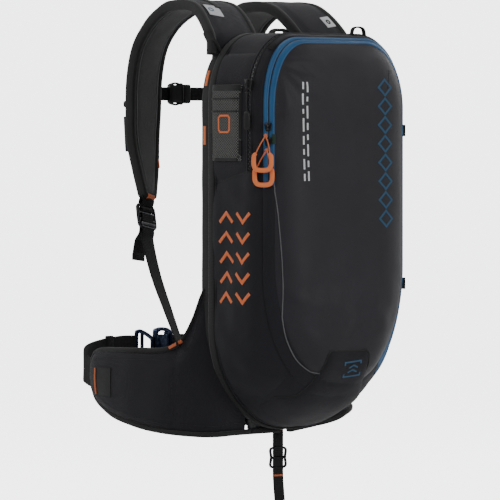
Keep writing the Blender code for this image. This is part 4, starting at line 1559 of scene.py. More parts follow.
def buildStrapTag(hand, word):
    centre, run, side, out = strapFrame(hand, strapCurve(hand), 0.995)
    tag = boxPiece(
        f"strapTag{word}", centre + run * 0.0006, side, run, out, (0.0135, 0.0060, 0.0150), 0.0012
    )
    finishPiece(tag, orangeThread, f"{word.lower()}_strap")


for hand, word in ((-1, "Left"), (1, "Right")):
    buildStrap(hand, word)
    buildStrapTag(hand, word)


def buildLabels():
    label = strapPatch("strapLabel", -1, 0.150, -0.42, 0.0165, 0.022)
    finishPiece(label, labelCloth, "left_strap")
    tree = gatherTree([label])
    at = strapCurve(-1)
    centre, run, side, out = strapFrame(-1, at, 0.150)
    middle = centre + side * (-0.42 * at(0.150)[3]) + out * 0.009
    ring = [
        middle + side * -0.0045 + (side * cos(tau * k / 14) + run * sin(tau * k / 14)) * 0.0034
        for k in range(14)
    ]
    finishPiece(
        laidBand("labelRing", tree, ring, 0.0013, 0.0003, 0.002, closed=True), bluePrint, "left_strap"
    )
    bars = [
        laidBand(
            f"labelBar{k}",
            tree,
            [middle + side * 0.001 + run * step, middle + side * 0.0075 + run * step],
            0.0012,
            0.0003,
        )
        for k, step in enumerate((-0.0035, 0.0, 0.0035))
    ]
    finishPiece(joinPieces("labelBars", bars), whitePrint, "left_strap")
    patch = strapPatch("strapBadge", 1, 0.118, -0.55, 0.0140, 0.0145)
    finishPiece(patch, labelCloth, "right_strap")
    at = strapCurve(1)
    centre, run, side, out = strapFrame(1, at, 0.118)
    middle = centre + side * (-0.55 * at(0.118)[3]) + out * 0.009
    tree = gatherTree([patch])
    dot = [
        middle + (side * cos(tau * k / 12) * 0.0022 + run * sin(tau * k / 12) * 0.0032) for k in range(12)
    ]
    finishPiece(
        laidBand("badgeRing", tree, dot, 0.0020, 0.0004, 0.0015, closed=True), bindingSoft, "right_strap"
    )
    # bar tacks where the straps' layers are sewn together
    for name, hand, t, across in (("tackLeft", -1, 0.885, 0.94), ("tackRight", 1, 0.50, 0.96)):
        word = "left_strap" if hand < 0 else "right_strap"
        at = strapCurve(hand)
        centre, run, side, out = strapFrame(hand, at, t)
        spot = centre + side * across * at(t)[3]
        tack = boxPiece(name, spot, side, run, out, (0.0030, 0.0125, 0.0148), 0.0010)
        finishPiece(tack, orangeThread, word)


buildLabels()
print("stage: shoulder straps")


lock = {"centre": (0.1010, 0.1395, 0.2270), "down": (0.10, -0.30, -0.95), "half": (0.0165, 0.0150)}


def lockFrame(hand):
    centre = Vector((hand * lock["centre"][0], lock["centre"][1], lock["centre"][2]))
    down = Vector((hand * lock["down"][0], lock["down"][1], lock["down"][2])).normalized()
    side = strapSide(hand, 1.0)
    across = (side - side.dot(down) * down).normalized()
    out = down.cross(across).normalized()
    return centre, down, across, out


def buildLock(hand, word):
    centre, down, across, out = lockFrame(hand)
    wide, tall = lock["half"]
    c = 0.005
    ring = [
        centre + across * x + down * z
        for x, z in (
            (-wide, -tall + c), (-wide, tall - c), (-wide + c * 0.4, tall - c * 0.4), (-wide + c, tall),
            (wide - c, tall), (wide - c * 0.4, tall - c * 0.4), (wide, tall - c), (wide, -tall + c),
            (wide - c * 0.4, -tall + c * 0.4), (wide - c, -tall), (-wide + c, -tall),
            (-wide + c * 0.4, -tall + c * 0.4),
        )
    ]
    rim = tubePiece(f"lockRim{word}", ring, (0.0019, 0.0023), 90, 12, closed=True, across=across, power=3)
    bars = [rim]
    for k, offset in enumerate((-0.0037, 0.0053)):
        bar = [
            centre + across * wide * f + down * offset + out * 0.0006 * (1 - f * f)
            for f in (-0.95, -0.5, 0, 0.5, 0.95)
        ]
        bars.append(tubePiece(f"lockBar{word}{k}", bar, (0.0019, 0.0017), 16, 10, across=down, power=3))
    teeth = [centre + across * wide * f * 0.9 + down * 0.0112 + out * 0.0018 for f in (-1, 0, 1)]
    bars.append(tubePiece(f"lockGrip{word}", teeth, (0.0024, 0.0012), 12, 8, across=down, power=4))
    whole = joinPieces(f"ladderLock{word}", bars)
    finishPiece(
        whole, darkMetal if hand < 0 else blackPlastic, f"{word.lower()}_lock",
        [f"ladder_lock_{word.lower()}"],
    )

    # stub that hangs the lock on the strap, looped through its top slot
    at = strapCurve(hand)
    centreEnd, run, side, outEnd = strapFrame(hand, at, 0.985)
    top = centre - down * 0.0085
    path = [
        centreEnd + outEnd * 0.0008, centreEnd.lerp(top, 0.55) + outEnd * 0.0035, top + out * 0.0035,
        top + down * 0.002, top - out * 0.0035 + down * 0.0004,
        centreEnd.lerp(top, 0.55) - outEnd * 0.0032, centreEnd - outEnd * 0.0012,
    ]
    stub = strapPiece(f"lockStub{word}", lineThrough(path), tuple(across), 0.0118, 0.0008, 50, 14, 5)
    finishPiece(stub, webbing, f"{word.lower()}_strap")


def buildLowerWebbing(hand, word):
    centre, down, across, out = lockFrame(hand)
    start = centre + down * 0.0008
    low = Vector((hand * 0.1375, 0.030, 0.0720))
    points = [
        start + out * 0.0028 - down * 0.004, start + out * 0.0016 + down * 0.006,
        centre + down * 0.0200 + out * 0.0008,
    ]
    points += [
        Vector((hand * x, y, z))
        for x, y, z in ((0.108, 0.127, 0.193), (0.118, 0.098, 0.150), (0.129, 0.060, 0.106))
    ]
    points += [low, Vector((hand * 0.1400, 0.0225, 0.0600))]
    twist = 0.55

    def side(t):
        base = strapSide(hand, 1.0)
        return base.lerp(Vector((-hand * 0.55, 0.75, 0.0)), twist * min(1, max(0, (t - 0.15) / 0.85)))

    band = strapPiece(f"lowerWebbing{word}", lineThrough(points), side, 0.0122, 0.0008, 110, 16, 5)
    finishPiece(band, webbing, None, [f"lower_webbing_{word.lower()}"])
    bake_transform(band)
    tail = [
        start - out * 0.0030 - down * 0.004, start - out * 0.0035 + down * 0.008,
        start - out * 0.0055 + down * 0.020,
    ]
    tail += [
        start + Vector((hand * 0.004, 0.007, -0.032)), start + Vector((hand * 0.006, 0.0085, -0.046)),
        start + Vector((hand * 0.007, 0.008, -0.056)),
    ]
    end = strapPiece(
        f"webbingTail{word}", lineThrough(tail), tuple(across), 0.0122,
        lambda t: 0.0008 + (0.0009 if t > 0.86 else 0), 60, 16, 5,
    )
    finishPiece(end, webbing, f"{word.lower()}_lock")


for hand, word in ((-1, "Left"), (1, "Right")):
    buildLock(hand, word)
    buildLowerWebbing(hand, word)

haul = {"half": 0.0065, "thick": 0.0011}


def buildHaulLoop():
    low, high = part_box("haul_loop")
    y = (low.y + high.y) / 2
    path = [
        (-0.0215, y, low.z + 0.001), (-0.0200, y, 0.446), (-0.0120, y, high.z - 0.0045),
        (0, y, high.z - 0.0020),
    ]
    path += [(0.0120, y, high.z - 0.0045), (0.0200, y, 0.446), (0.0215, y, low.z + 0.001)]
    piece = strapPiece("haulLoop", lineThrough(path), (0, 1, 0), haul["half"], haul["thick"], 70, 14, 4)
    finishPiece(piece, webbing, "haul_loop", ["haul_loop"])
    grip = strapPiece(
        "haulGrip", lineThrough(path[1:6]), (0, 1, 0), haul["half"] * 0.9, haul["thick"] + 0.0009, 40, 14, 3
    )
    finishPiece(grip, binding, "haul_loop")


buildHaulLoop()

sternum = {"z": 0.388, "y": 0.196, "half": 0.0088}


def buildSternum():
    z, y = sternum["z"], sternum["y"]
    left = [(-0.078, 0.1822, z), (-0.066, 0.1852, z), (-0.050, 0.1905, z), (-0.034, y, z), (-0.0165, y, z)]
    band = strapPiece(
        "sternumWebbingLeft", lineThrough(left), (0, 0, 1), sternum["half"], 0.0008, 40, 14, 5
    )
    finishPiece(band, webbing, "left_strap", ["sternum_webbing_left"])
    right = [(0.0165, y, z), (0.034, y, z), (0.048, y + 0.001, z), (0.066, y + 0.001, z)]
    band = strapPiece(
        "sternumWebbingRight", lineThrough(right), (0, 0, 1), sternum["half"], 0.0008, 40, 14, 5
    )
    finishPiece(band, webbing, "sternum_plug", ["sternum_webbing_right"])

    def shell(s, t):
        p, q = roundedSection(s, 5)
        waist = 1 - 0.10 * sin(pi * t) ** 2
        end = (1 - abs(2 * t - 1) ** 10) ** 0.5 * 0.25 + 0.75
        return Vector((-0.0176 + 0.0216 * t, y + q * 0.0045 * end, z + p * 0.0130 * waist * end))

    housing = gridPiece("sternumSocket", 28, 26, shell, (0.05, 0.022), wrap=True)
    rims = [housing]
    for side in (-1, 1):
        arm = [
            (-0.0150, y, z + side * 0.0122), (-0.006, y, z + side * 0.0142), (0.002, y, z + side * 0.0118)
        ]
        rims.append(tubePiece(f"socketArm{side}", arm, (0.0012, 0.0036), 14, 10, across=(0, 0, 1), power=3))
    lip = [
        (0.0034, y - 0.0044, z - 0.011), (0.0034, y - 0.0044, z + 0.011), (0.0034, y + 0.0044, z + 0.011),
        (0.0034, y + 0.0044, z - 0.011),
    ]
    rims.append(tubePiece("socketLip", lip, 0.0008, 40, 6, closed=True))
    finishPiece(
        joinPieces("sternumSocket", rims), blackPlastic, "left_strap",
        ["sternum_buckle_socket"],
    )
    parts = [boxPiece("plugBody", (0.0110, y, z), *upright, (0.0130, 0.0250, 0.0088), 0.0022, 3)]
    for side in (-1, 1):
        prong = [
            (0.006, y, z + side * 0.0065), (-0.002, y, z + side * 0.0078), (-0.0075, y, z + side * 0.0062)
        ]
        parts.append(
            tubePiece(f"plugProng{side}", prong, (0.0012, 0.0018), 14, 8, across=(0, 0, 1), power=4)
        )
    parts.append(boxPiece("plugTongue", (-0.001, y, z), *upright, (0.0130, 0.0045, 0.0026), 0.0006))
    finishPiece(
        joinPieces("sternumPlug", parts), blackPlastic, "sternum_plug",
        ["sternum_buckle_plug"],
    )
    for hand, spot, bodyName in (
        (-1, (-0.0600, 0.1872, z), "left_strap"), (1, (0.0560, y + 0.0008, z), "sternum_plug")
    ):
        slide = boxPiece(
            f"sternumSlide{hand}", spot, (1, 0.15 * -hand, 0), (0, 0, 1), (0, 1, 0),
            (0.0110, 0.0225, 0.0052), 0.0012,
        )
        finishPiece(slide, blackPlastic, bodyName)


buildSternum()

trigger = {
    "lean": (-0.10, -0.20, -0.97), "face": (-0.0815, 0.1800, 0.3330), "offset": 0.0065,
    "pouch": (0.0190, 0.0045),
}


def buildTrigger():
    lean = Vector(trigger["lean"]).normalized()
    side = strapSide(-1, 1.0)
    out = side.cross(lean).normalized()
    if out.y < 0:
        out = -out
    middle = Vector(trigger["face"]) + out * trigger["offset"]

    def at(a, b, c=0.0):
        return middle + side * a + lean * b + out * c

    wide, thick = trigger["pouch"]

    def place(s, t):
        p, q = roundedSection(s, 4)
        end = (1 - max(0, 2 * t - 1) ** 8) ** 0.3 if t < 1 else 0.55
        crease = 0.0004 * ripple((p * 0.02, t * 0.05, 0), 60, 5.0)
        return at(
            p * wide * (0.96 + 0.04 * end), -0.026 + 0.046 * t, q * (thick * (0.7 + 0.3 * end) + crease)
        )

    pouch = gridPiece("triggerPouch", 34, 34, place, (0.076, 0.046), wrap=True)
    finishPiece(pouch, ink, "left_strap", ["trigger_pouch"])
    hem = [at(cos(tau * k / 20) * wide, -0.0255, sin(tau * k / 20) * thick) for k in range(20)]
    finishPiece(tubePiece("pouchHem", hem, 0.0011, 60, 8, closed=True), binding, "left_strap")
    tree = gatherTree([pouch])
    row = [at(-0.015 + 0.03 * k / 6, 0.012, 0.02) for k in range(7)]
    finishPiece(laidBand("pouchFlap", tree, row, 0.0050, 0.0008, 0.003), webbing, "left_strap")

    def gripPlace(s, t):
        p, q = roundedSection(s, 3.2)
        k = (t - 0.5) * 2
        return at(
            0.0185 * k, -0.0435 + p * 0.0050 * (1 - abs(k) ** 9) ** 0.5,
            q * 0.0041 * (1 - abs(k) ** 9) ** 0.5,
        )

    bar = gridPiece("gripBar", 20, 30, gripPlace, (0.02, 0.037), wrap=True)
    stem = tubePiece(
        "gripStem", [at(0, -0.041), at(0, -0.020), at(0, 0.012)], (0.0075, 0.0021), 20, 12, across=side,
        power=4,
    )
    ridges = [
        tubePiece(
            f"gripRidge{k}",
            [at(f, -0.0475, 0.0030), at(f, -0.0435, 0.0043), at(f, -0.0395, 0.0030)],
            0.0006,
            10,
            6,
        )
        for k, f in enumerate((-0.012, -0.006, 0, 0.006, 0.012))
    ]
    finishPiece(joinPieces("triggerRidges", ridges), orangePlastic, "trigger")
    handle = joinPieces("triggerHandle", [bar, stem])
    finishPiece(handle, blackPlastic, "trigger", ["trigger_handle"])

    # sleeve for the release cable, from the pouch up over the shoulder
    at2 = strapCurve(-1)
    marks = []
    for k in range(30):
        t = 0.74 - 0.58 * k / 29
        centre, run, sideAt, outAt = strapFrame(-1, at2, t)
        marks.append(centre + sideAt * -0.006 + outAt * (strap["thick"] + 0.0016))
    sleeve = tubePiece("releaseSleeve", marks, (0.0042, 0.0014), 90, 10, across=(1, 0.2, 0), power=3)
    finishPiece(sleeve, bindingSoft, "left_strap")


buildTrigger()
print("stage: locks, webbing, chest strap and trigger")


def puff(piece, voxel=0.005, pressure=4.0, cap=0.008, frames=16, rise=1.0):
    # Fills a soft piece: pressure and tension pull on its skin for a few frames, and no point moves
    # beyond cap
    thaw = piece.modifiers.new("skin", "REMESH")
    thaw.mode = "VOXEL"
    thaw.voxel_size = voxel
    applyModifiers(piece)
    rest = [vert.co.copy() for vert in piece.data.vertices]
    filling = piece.modifiers.new("filling", "CLOTH")
    settings = filling.settings
    settings.quality = 6
    settings.mass = 0.15
    settings.tension_stiffness = 12
    settings.compression_stiffness = 10
    settings.shear_stiffness = 6
    settings.bending_stiffness = 0.4
    settings.use_pressure = True
    settings.uniform_pressure_force = pressure
    settings.effector_weights.gravity = 0
    filling.point_cache.frame_start = 1
    filling.point_cache.frame_end = frames
    for frameNumber in range(1, frames + 1):
        bpy.context.scene.frame_set(frameNumber)
    applyModifiers(piece)
    bpy.context.scene.frame_set(1)
    for vert, start in zip(piece.data.vertices, rest):
        move = vert.co - start
        move.z *= rise
        vert.co = start + move * min(1, cap / max(move.length, 0.00001))
    smoothen(piece, 1)
    return piece


wingLine = (
    (0.0100, -0.0172, 0.010, -0.0490, 0.0028), (0.0800, -0.0172, 0.060, -0.0505, 0.0032),
    (0.1060, -0.0150, 0.128, -0.0520, 0.0040), (0.1200, -0.0060, 0.140, -0.0525, 0.0050),
    (0.1290, 0.0080, 0.1000, -0.0520, 0.0058), (0.1375, 0.0230, 0.0700, -0.0510, 0.0064),
    (0.1460, 0.0450, 0.0600, -0.0490, 0.0068), (0.1530, 0.0750, 0.0585, -0.0450, 0.0068),
    (0.1570, 0.1000, 0.0580, -0.0395, 0.0066), (0.1575, 0.1300, 0.0575, -0.0320, 0.0062),
    (0.1550, 0.1570, 0.0570, -0.0205, 0.0058), (0.1515, 0.1740, 0.0540, -0.0110, 0.0054),
    (0.1490, 0.1850, 0.0490, -0.0010, 0.0050),
)
wing = {
    "swell": 0.0022,
    "binding": 0.0034,
    "wrinkle": 0.0016,
    "rightRise": (0.000, 0.012, 0.023, 0.029, 0.031, 0.033, 0.031, 0.0235, 0.013, 0.006, 0.002, 0.0, 0.0),
}


def wingCurve(hand):
    rises = wing["rightRise"] if hand > 0 else (0.0,) * len(wingLine)
    rows = zip(wingLine, rises)
    return lineThrough([(hand * x, y, 0.0, top, low + rise, half) for (x, y, top, low, half), rise in rows])


def wingFrame(hand, at, t):
    row = at(t)
    ahead, behind = Vector(at(min(t + 0.01, 1))[:3]), Vector(at(max(t - 0.01, 0))[:3])
    run = (ahead - behind).normalized()
    out = Vector((run.y, -run.x, 0)).normalized()
    if out.x * hand < 0:
        out = -out
    return Vector(row[:3]), run, out, row[3], row[4], row[5]


def buildWing(hand, word):
    at = wingCurve(hand)

    def place(s, t):
        centre, run, out, top, low, half = wingFrame(hand, at, t)
        p, q = roundedSection(s, 3.4)
        tip = 1 - 0.16 * max(0, (t - 0.90) / 0.10) ** 3
        middle, tall = (top + low) / 2, (top - low) / 2 - 0.0012
        swell = wing["swell"] * (1 - abs(p) ** 2) * min(1, t * 4, (1 - t) * 12)
        creases = wing["wrinkle"] * ripple((t * 0.62, p * 0.030, hand * 0.7), 17, 6.0) * (1 - abs(p) ** 4)
        creases += 0.7 * wing["wrinkle"] * exp(-(((t - 0.30) / 0.10) ** 2)) * ripple(
            (t * 0.9, p * 0.012, hand), 40, 1.0
        )
        groove = -0.0014 * exp(-(((t - 0.44) / 0.010) ** 2))
        depth = half + swell + (creases + groove if q > 0 else 0)
        return centre + Vector((0, 0, middle + p * tall * tip)) + out * q * depth

    piece = gridPiece(f"hipWing{word}", 64, 110, place, (0.22, 0.26), wrap=True)
    puff(piece, 0.0045, 2.0, 0.0040, 12, 0.1)
    mesh = piece.data
    mesh.materials.clear()
    mesh.materials.append(inkSoft)
    mesh.materials.append(meshSoft)
    for face in mesh.polygons:
        t = nearestLevel(at, face.center)
        centre, run, out, *_ = wingFrame(hand, at, t)
        face.material_index = 1 if (face.center - centre).dot(out) < -0.003 else 0
    pick(piece)
    bpy.ops.object.shade_smooth_by_angle(angle=radians(60))
    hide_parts(f"hip_wing_{word.lower()}")
    bodyName = f"{word.lower()}_wing"
    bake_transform(piece)

    frames = []
    steps = 70
    for edge in (1, -1):
        order = range(steps + 1) if edge == 1 else range(steps, -1, -1)
        for k in order:
            t = k / steps
            centre, run, out, top, low, half = wingFrame(hand, at, t)
            tip = 1 - 0.16 * max(0, (t - 0.90) / 0.10) ** 3
            middle, tall = (top + low) / 2, (top - low) / 2 - 0.0020
            spot = centre + Vector((0, 0, middle + edge * tall * tip))
            frames.append((spot, Vector((0, 0, edge)), out))
        if edge == 1:
            centre, run, out, top, low, half = wingFrame(hand, at, 1.0)
            middle, tall = (top + low) / 2, ((top - low) / 2 - 0.0020) * 0.84
            for j in range(1, 12):
                turn = pi * j / 12
                spot = centre + Vector((0, 0, middle + cos(turn) * tall)) + run * 0.0025 * sin(turn)
                frames.append((spot, Vector((0, 0, cos(turn))) + run * sin(turn), out))
    band = sweptPiece(f"wingBinding{word}", frames, (wing["binding"], 0.0066), 16, False, 3.5)
    finishPiece(band, bindingSoft, None)
    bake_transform(band)
    tree = gatherTree([piece])

    def on(t, z):
        centre, run, out, *_ = wingFrame(hand, at, t)
        return tree.find_nearest(Vector((centre.x, centre.y, z)) + out * 0.03)[0]

    rows = [
        stitches(
            f"wingStitch{word}{k}",
            tree,
            [on(0.02 + 0.95 * j / 40, z(0.02 + 0.95 * j / 40)) for j in range(41)],
        )
        for k, z in enumerate((lambda t: at(t)[3] - 0.0095, lambda t: at(t)[4] + 0.0095))
    ]
    seam = [on(0.44, 0.052 - 0.094 * j / 10) for j in range(11)]
    rows.append(stitches(f"wingSeam{word}", tree, [spot + Vector((0, 0.002, 0)) for spot in seam]))
    finishPiece(joinPieces(f"wingStitching{word}", rows), bindingSoft, None)
    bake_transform(bpy.data.objects[f"wingStitching{word}"])

    def patchPlace(s, t):
        share = 0.745 + 0.090 * s
        centre, run, out, top, low, half = wingFrame(hand, at, share)
        z = 0.0340 - 0.0400 * t
        spot, normal = tree.find_nearest(Vector((centre.x, centre.y, z)) + out * 0.03)[:2]
        return spot + normal * 0.0010

    patch = sheetPiece(f"wingPatch{word}", 12, 16, patchPlace, (0.026, 0.040), (0, 0.08, 0), 0.0012)
    finishPiece(patch, binding, bodyName)
    pipe = []
    for k in range(16):
        spot, normal = tree.find_nearest(on(0.852, 0.0330 - 0.0380 * k / 15))[:2]
        pipe.append(spot + normal * 0.0010)
    finishPiece(tubePiece(f"wingPiping{word}", pipe, 0.0013, 30, 8), orangeThread, bodyName)
    return tree


def nearestLevel(at, spot, count=60):
    best, share = 9.0, 0.0
    for k in range(count + 1):
        row = at(k / count)
        gap = (row[0] - spot.x) ** 2 + (row[1] - spot.y) ** 2
        if gap < best:
            best, share = gap, k / count
    return share


for hand, word in ((-1, "Left"), (1, "Right")):
    buildWing(hand, word)
    start = Vector((hand * 0.1405, 0.0275, 0.0650))
    along, out = Vector((hand * 0.36, 0.93, -0.50)).normalized(), Vector((hand, -0.39, 0)).normalized()
    tack = boxPiece(
        f"anchorTack{word}", start + out * 0.0042, along, out.cross(along), out, (0.0215, 0.0044, 0.0042),
        0.0012,
    )
    finishPiece(tack, orangeThread, "pack")
print("stage: hip wings")

belt = {"y": 0.250, "z": 0.050, "half": 0.0188}


def buildBelt():
    y, z = belt["y"], belt["z"]
    for hand, word in ((-1, "Left"), (1, "Right")):
        path = [
            (0.1492, 0.1900, 0.0240), (0.1455, 0.2045, 0.026), (0.139, 0.222, 0.032),
            (0.120, 0.2385, 0.040), (0.090, 0.2470, 0.046), (0.055, y, z), (0.0290, y, z),
        ]
        band = strapPiece(
            f"hipWebbing{word}", lineThrough([(hand * a, b, c) for a, b, c in path]), (0, 0, 1),
            belt["half"], 0.0011, 90, 18, 5,
        )
        finishPiece(band, webbing, f"{word.lower()}_wing", [f"hip_webbing_{word.lower()}"])
        keeper = boxPiece(
            f"beltKeeper{word}", (hand * 0.075, 0.2490, z - 0.0018), *upright, (0.012, 0.0420, 0.0060),
            0.0018,
        )
        finishPiece(keeper, webbing, f"{word.lower()}_wing")

    def at(x, h, d=0.0):
        return Vector((x, y + d, z + h))

    ring = [
        at(-0.0285, -0.0190), at(-0.0285, 0.0190), at(-0.0262, 0.0232), at(-0.0215, 0.0238),
        at(-0.0120, 0.0200), at(-0.0040, 0.0150), at(-0.0015, 0.0110),
    ]
    ring += [
        at(x, -h)
        for x, h in (
            (-0.0015, 0.0110), (-0.0040, 0.0150), (-0.0120, 0.0200), (-0.0215, 0.0238), (-0.0262, 0.0232)
        )
    ]
    parts = [
        tubePiece("hookRim", ring, (0.0027, 0.0024), 120, 12, closed=True, across=(1, 0, 0), power=2.6)
    ]
    parts.append(
        tubePiece(
            "hookBar", [at(-0.0190, -0.0215), at(-0.0190, 0), at(-0.0190, 0.0215)], 0.0022, 16, 12,
            across=(1, 0, 0), power=3,
        )
    )
    parts.append(boxPiece("hookTongue", at(0.0065, 0), *upright, (0.0220, 0.0235, 0.0024), 0.0009))
    finishPiece(joinPieces("hipHook", parts), blueMetal, "left_wing", ["hip_buckle_hook"])

    shell = [
        at(0.0040, 0.0205), at(0.0040, -0.0205), at(0.0070, -0.0245), at(0.0120, -0.0262),
        at(0.0220, -0.0252), at(0.0272, -0.0215), at(0.0280, -0.0150),
    ]
    shell += [at(p.x, z - p.z) for p in reversed(shell[:]) if p.x > 0.0045]
    parts = [
        tubePiece("frameRim", shell, (0.0026, 0.0046), 120, 14, closed=True, across=(1, 0, 0), power=3)
    ]
    parts.append(
        tubePiece(
            "frameBar", [at(0.0215, -0.0225), at(0.0215, 0), at(0.0215, 0.0225)], (0.0020, 0.0030), 16, 12,
            across=(1, 0, 0), power=3,
        )
    )
    for side in (-1, 1):
        parts.append(
            boxPiece(
                f"framePlate{side}", at(0.0115, 0, side * 0.0046), *upright, (0.0160, 0.0380, 0.0018),
                0.0008,
            )
        )
    finishPiece(
        joinPieces("hipFrame", parts), blueMetal, "right_wing", ["hip_buckle_frame"]
    )


buildBelt()

leg = {"x": -0.005, "y": -0.0122, "half": 0.0088}


def buildLegStrap():
    x, y = leg["x"], leg["y"]
    path = [
        (x, y, -0.0440), (x, y, -0.060), (x, y, -0.083), (x, y, -0.104), (x + 0.001, y, -0.120),
        (x + 0.003, y, -0.1395),
    ]
    band = strapPiece("legStrap", lineThrough(path), (1, 0, 0), leg["half"], 0.0009, 60, 14, 5)
    finishPiece(band, webbing, "leg_strap", ["leg_strap"])
    ring = [
        (x - 0.0112, y, -0.0712), (x + 0.0112, y, -0.0712), (x + 0.0116, y, -0.083),
        (x + 0.0112, y, -0.0948), (x - 0.0112, y, -0.0948), (x - 0.0116, y, -0.083),
    ]
    rim = tubePiece("legRim", ring, (0.0015, 0.0019), 80, 12, closed=True, across=(1, 0, 0), power=3)
    bar = tubePiece(
        "legBar",
        [(x - 0.011, y - 0.0022, -0.083), (x, y - 0.0024, -0.083), (x + 0.011, y - 0.0022, -0.083)],
        0.0015,
        12,
        10,
        across=(0, 0, 1),
    )
    finishPiece(
        joinPieces("legBuckle", [rim, bar]), darkMetal, "leg_buckle", ["leg_strap_buckle"]
    )
    for name, z in (("legTackTop", -0.0465), ("legTackLow", -0.1062)):
        tack = boxPiece(
            name, (x, y, z), *upright, (0.0150 if z < -0.06 else 0.0175, 0.0026, 0.0030), 0.0009
        )
        finishPiece(tack, orangeThread, "leg_strap")


buildLegStrap()
print("stage: belt and leg strap")


backPads = {"channel": 0.0022, "crown": 0.0030}


def padPiece(name, low, high, corner, node, channels=()):
    # A foam pad: rounded corners, crowned face, channels pressed across it
    middle = (low + high) / 2
    half = (high - low) / 2

    def place(s, t):
        p, q = 2 * s - 1, 2 * t - 1
        squeeze = 1 - (
            1 - sqrt(max(0, 1 - max(0, abs(q) * half.z - (half.z - corner)) ** 2 / corner**2))
        ) * corner / half.x
        x = middle.x + p * half.x * squeeze
        z = middle.z + q * half.z
        rim = (1 - abs(p) ** 10) * (1 - abs(q) ** 18)
        depth = 0.0012 + (high.y - low.y - 0.0016) * rim ** 0.35
        for level in channels:
            depth -= backPads["channel"] * exp(-(((z - level - 0.10 * abs(x - middle.x)) / 0.004) ** 2))
        return Vector((x, low.y + depth, z))

    face = gridPiece(name, 40, 90, place, (2 * half.x, 2 * half.z))
    for vert in face.data.vertices:
        vert.co.y = min(vert.co.y, high.y)
    faceAway(face, (middle.x, low.y - 0.2, middle.z))
    wallOf(face, 0.0030)
    puff(face, 0.0030, 1.2, 0.0015, 8)
    for vert in face.data.vertices:
        vert.co.y = min(vert.co.y, high.y)
    finishPiece(face, meshSoft, "pack", [node])
    rim = []
    for k in range(80):
        turn = tau * k / 80
        c, n = cos(turn), sin(turn)
        p, q = copysign(abs(c) ** 0.28, c), copysign(abs(n) ** 0.28, n)
        rim.append((middle.x + p * (half.x - 0.001), low.y + 0.0022, middle.z + q * (half.z - 0.001)))
    welt = tubePiece(f"{name}Binding", rim, (0.0024, 0.0016), 200, 8, closed=True, across=(0, 1, 0))
    finishPiece(welt, bindingSoft, "pack")
    return face


def buildBackPads():
    for word in ("left", "right"):
        low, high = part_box(f"back_pad_{word}")
        padPiece(f"backPad{word.title()}", low, high, 0.022, f"back_pad_{word}", (0.222, 0.290, 0.358))
    low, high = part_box("lumbar_pad")
    padPiece("lumbarPad", low, high, 0.045, "lumbar_pad", (0.030, 0.090))


def buildBackPanel():
    def place(s, t):
        u = 5 * (1 - t)
        x = outline(u, body["back"], 0.004)[0] * (2 * s - 1) * -1
        z = outline(u, body["back"], 0.004)[1]
        bumps = 0.0005 * ripple((x, z, 0.3), 22, 2.0)
        return Vector((x, -0.0176 + bumps, z))

    panel = sheetPiece("backPanel", 40, 110, place, (0.24, 0.5), (0, -0.3, 0.2), 0.0012)
    finishPiece(panel, ink, "pack")


def buildBackRim():
    # The padded rim round the back, in binding tape, from the hip belt up to each shoulder strap
    high = atHeight(0.440, 0.0)
    low = atHeight(0.030, 0.0)
    for hand, word in ((-1, "Left"), (1, "Right")):
        frames = []
        for k in range(120):
            t = k / 119
            u = low + (high - low) * t
            x, z = outline(u, body["back"], 0.0034)
            ahead = outline(u + 0.01, body["back"], 0.0034)
            run = Vector((ahead[0] - x, 0, ahead[1] - z)).normalized()
            lift = 0.0006 * ripple((z, 0.2, hand), 30, 1.0)
            out = Vector((-run.z, 0, run.x))
            out = -out if out.x > 0 else out
            spot, away = Vector((x, -0.0108, z)) + out * lift, out.copy()
            if hand > 0:
                spot.x, away.x = -spot.x, -away.x
            frames.append((spot, Vector((0, 1, 0)), away))
        top = frames[-1][0]
        for k in range(1, 13):
            t = k / 12
            spot = top.lerp(Vector((hand * 0.1185, -0.0085, 0.4620)), t) + Vector(
                (hand, 0, 0)
            ) * 0.0022 * sin(pi * t)
            frames.append((spot, Vector((0, 1, 0)), Vector((hand, 0, 0.6)).normalized()))

        def girth(t):
            return 0.0098 * min(1, 0.35 + t * 8), 0.0034

        rim = sweptPiece(f"backRim{word}", frames, girth, 20, False, 3.2)
        finishPiece(rim, binding, "pack")
        tree = gatherTree([rim])
        for name, top in (("edgeTackHigh", 0.410), ("edgeTackMid", 0.337)):
            long = 0.022
            row = []
            for k in range(7):
                x, z = outline(atHeight(top - long * k / 6, 0.0), body["back"], -0.01)
                row.append(Vector((x * -hand, -0.0085, z)))
            tack = laidBand(f"{name}{word}", tree, row, 0.0052, 0.0009, 0.003)
            finishPiece(tack, orangeThread, "pack")


buildBackPads()
buildBackPanel()
buildBackRim()

print("stage: back and pads")


def dress(node, material):
    for piece in bpy.data.objects:
        if piece.name == node or piece.name.split(".")[0] == node:
            if piece.type == "MESH":
                piece.data.materials.clear()
                piece.data.materials.append(material)


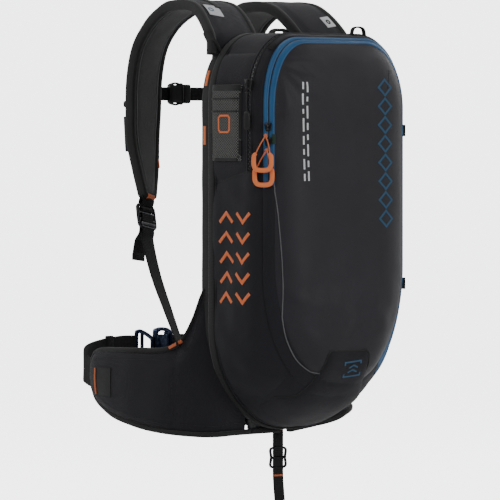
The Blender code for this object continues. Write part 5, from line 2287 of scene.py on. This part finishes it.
def buildInside():
    path = [
        (-0.095, -0.045, 0.203), (-0.095, -0.045, 0.30), (-0.088, -0.045, 0.385), (-0.045, -0.045, 0.425)
    ]
    path += [(-x, y, z) for x, y, z in reversed(path)]

    def folds(t, p, q):
        return 0.0022 * sin(p * 9 + sin(t * 40) * 0.8) * (1 if q > 0 else -0.6)

    bag = strapPiece("foldedAirbag", lineThrough(path), (0, 1, 0), 0.0155, 0.0160, 150, 48, 3.2, folds)
    finishPiece(bag, orangeNylon, "pack", ["folded_airbag"])
    for k, t in enumerate((0.14, 0.36, 0.64, 0.86)):
        even, _ = stretched(lineThrough(path))
        centre, run, side, out = frameAt(even, t, (0, 1, 0))
        frames = []
        for j in range(28):
            p, q = roundedSection(j / 28, 3)
            frames.append(
                (centre + side * p * 0.0172 + out * q * 0.0188, run, (side * p + out * q).normalized())
            )
        finishPiece(sweptPiece(f"airbagTie{k}", frames, (0.0050, 0.0007), 8, True, 4), webbing, "pack")

    def divide(s, t):
        u = 5 * (1 - t)
        x, z = outline(u, -0.067, 0.0062)
        return Vector((-x * (2 * s - 1), -0.067 + 0.0006 * ripple((x * s, z, 0), 18, 7.0), z))

    sheet = sheetPiece("dividerPanel", 36, 100, divide, (0.23, 0.5), (0, 0.3, 0.2), 0.0012)
    finishPiece(sheet, liner, "pack", ["divider_panel"])

    # sleeves for a shovel blade and a probe, sewn to the divider
    def sleeve(x0, x1, z0, z1, deep):
        def place(s, t):
            rim = (1 - abs(2 * s - 1) ** 6) * (1 - max(0, 1 - t * 8) ** 3)
            return Vector((x0 + (x1 - x0) * s, -0.0695 - deep * rim, z0 + (z1 - z0) * t))
        return place

    for name, spot in (
        ("shovelSleeve", (-0.088, 0.036, 0.055, 0.270, 0.0075)),
        ("probeSleeve", (0.052, 0.088, 0.055, 0.330, 0.0085)),
    ):
        pocketPiece = sheetPiece(name, 26, 44, sleeve(*spot), (0.13, 0.22), (0, 0.3, 0.2), 0.0010)
        finishPiece(pocketPiece, netting if name == "shovelSleeve" else ink, "pack")
        x0, x1, z0, z1, deep = spot
        hem = [
            (x0 + (x1 - x0) * k / 12, -0.0695 - deep * (1 - abs(2 * k / 12 - 1) ** 6), z1 - 0.001)
            for k in range(13)
        ]
        finishPiece(
            tubePiece(f"{name}Hem", hem, (0.0012, 0.0045), 40, 8, across=(0, 1, 0), power=3),
            orangeThread,
            "pack",
        )

    for node in ("gas_cartridge", "release_pin", "frame_stay_left", "frame_stay_right"):
        dress(node, satinMetal)
    for node in ("inflator_housing", "release_cable_inner", "frame_sheet"):
        dress(node, blackPlastic)
    dress("back_wall", ink)


liner = cloth(
    "liner", (0.050, 0.052, 0.055), (0.095, 0.098, 0.102), weaveGroup, {"Threads": 4200.0}, (0.6, 0.8), 0.1
)
buildInside()
print("stage: inside")
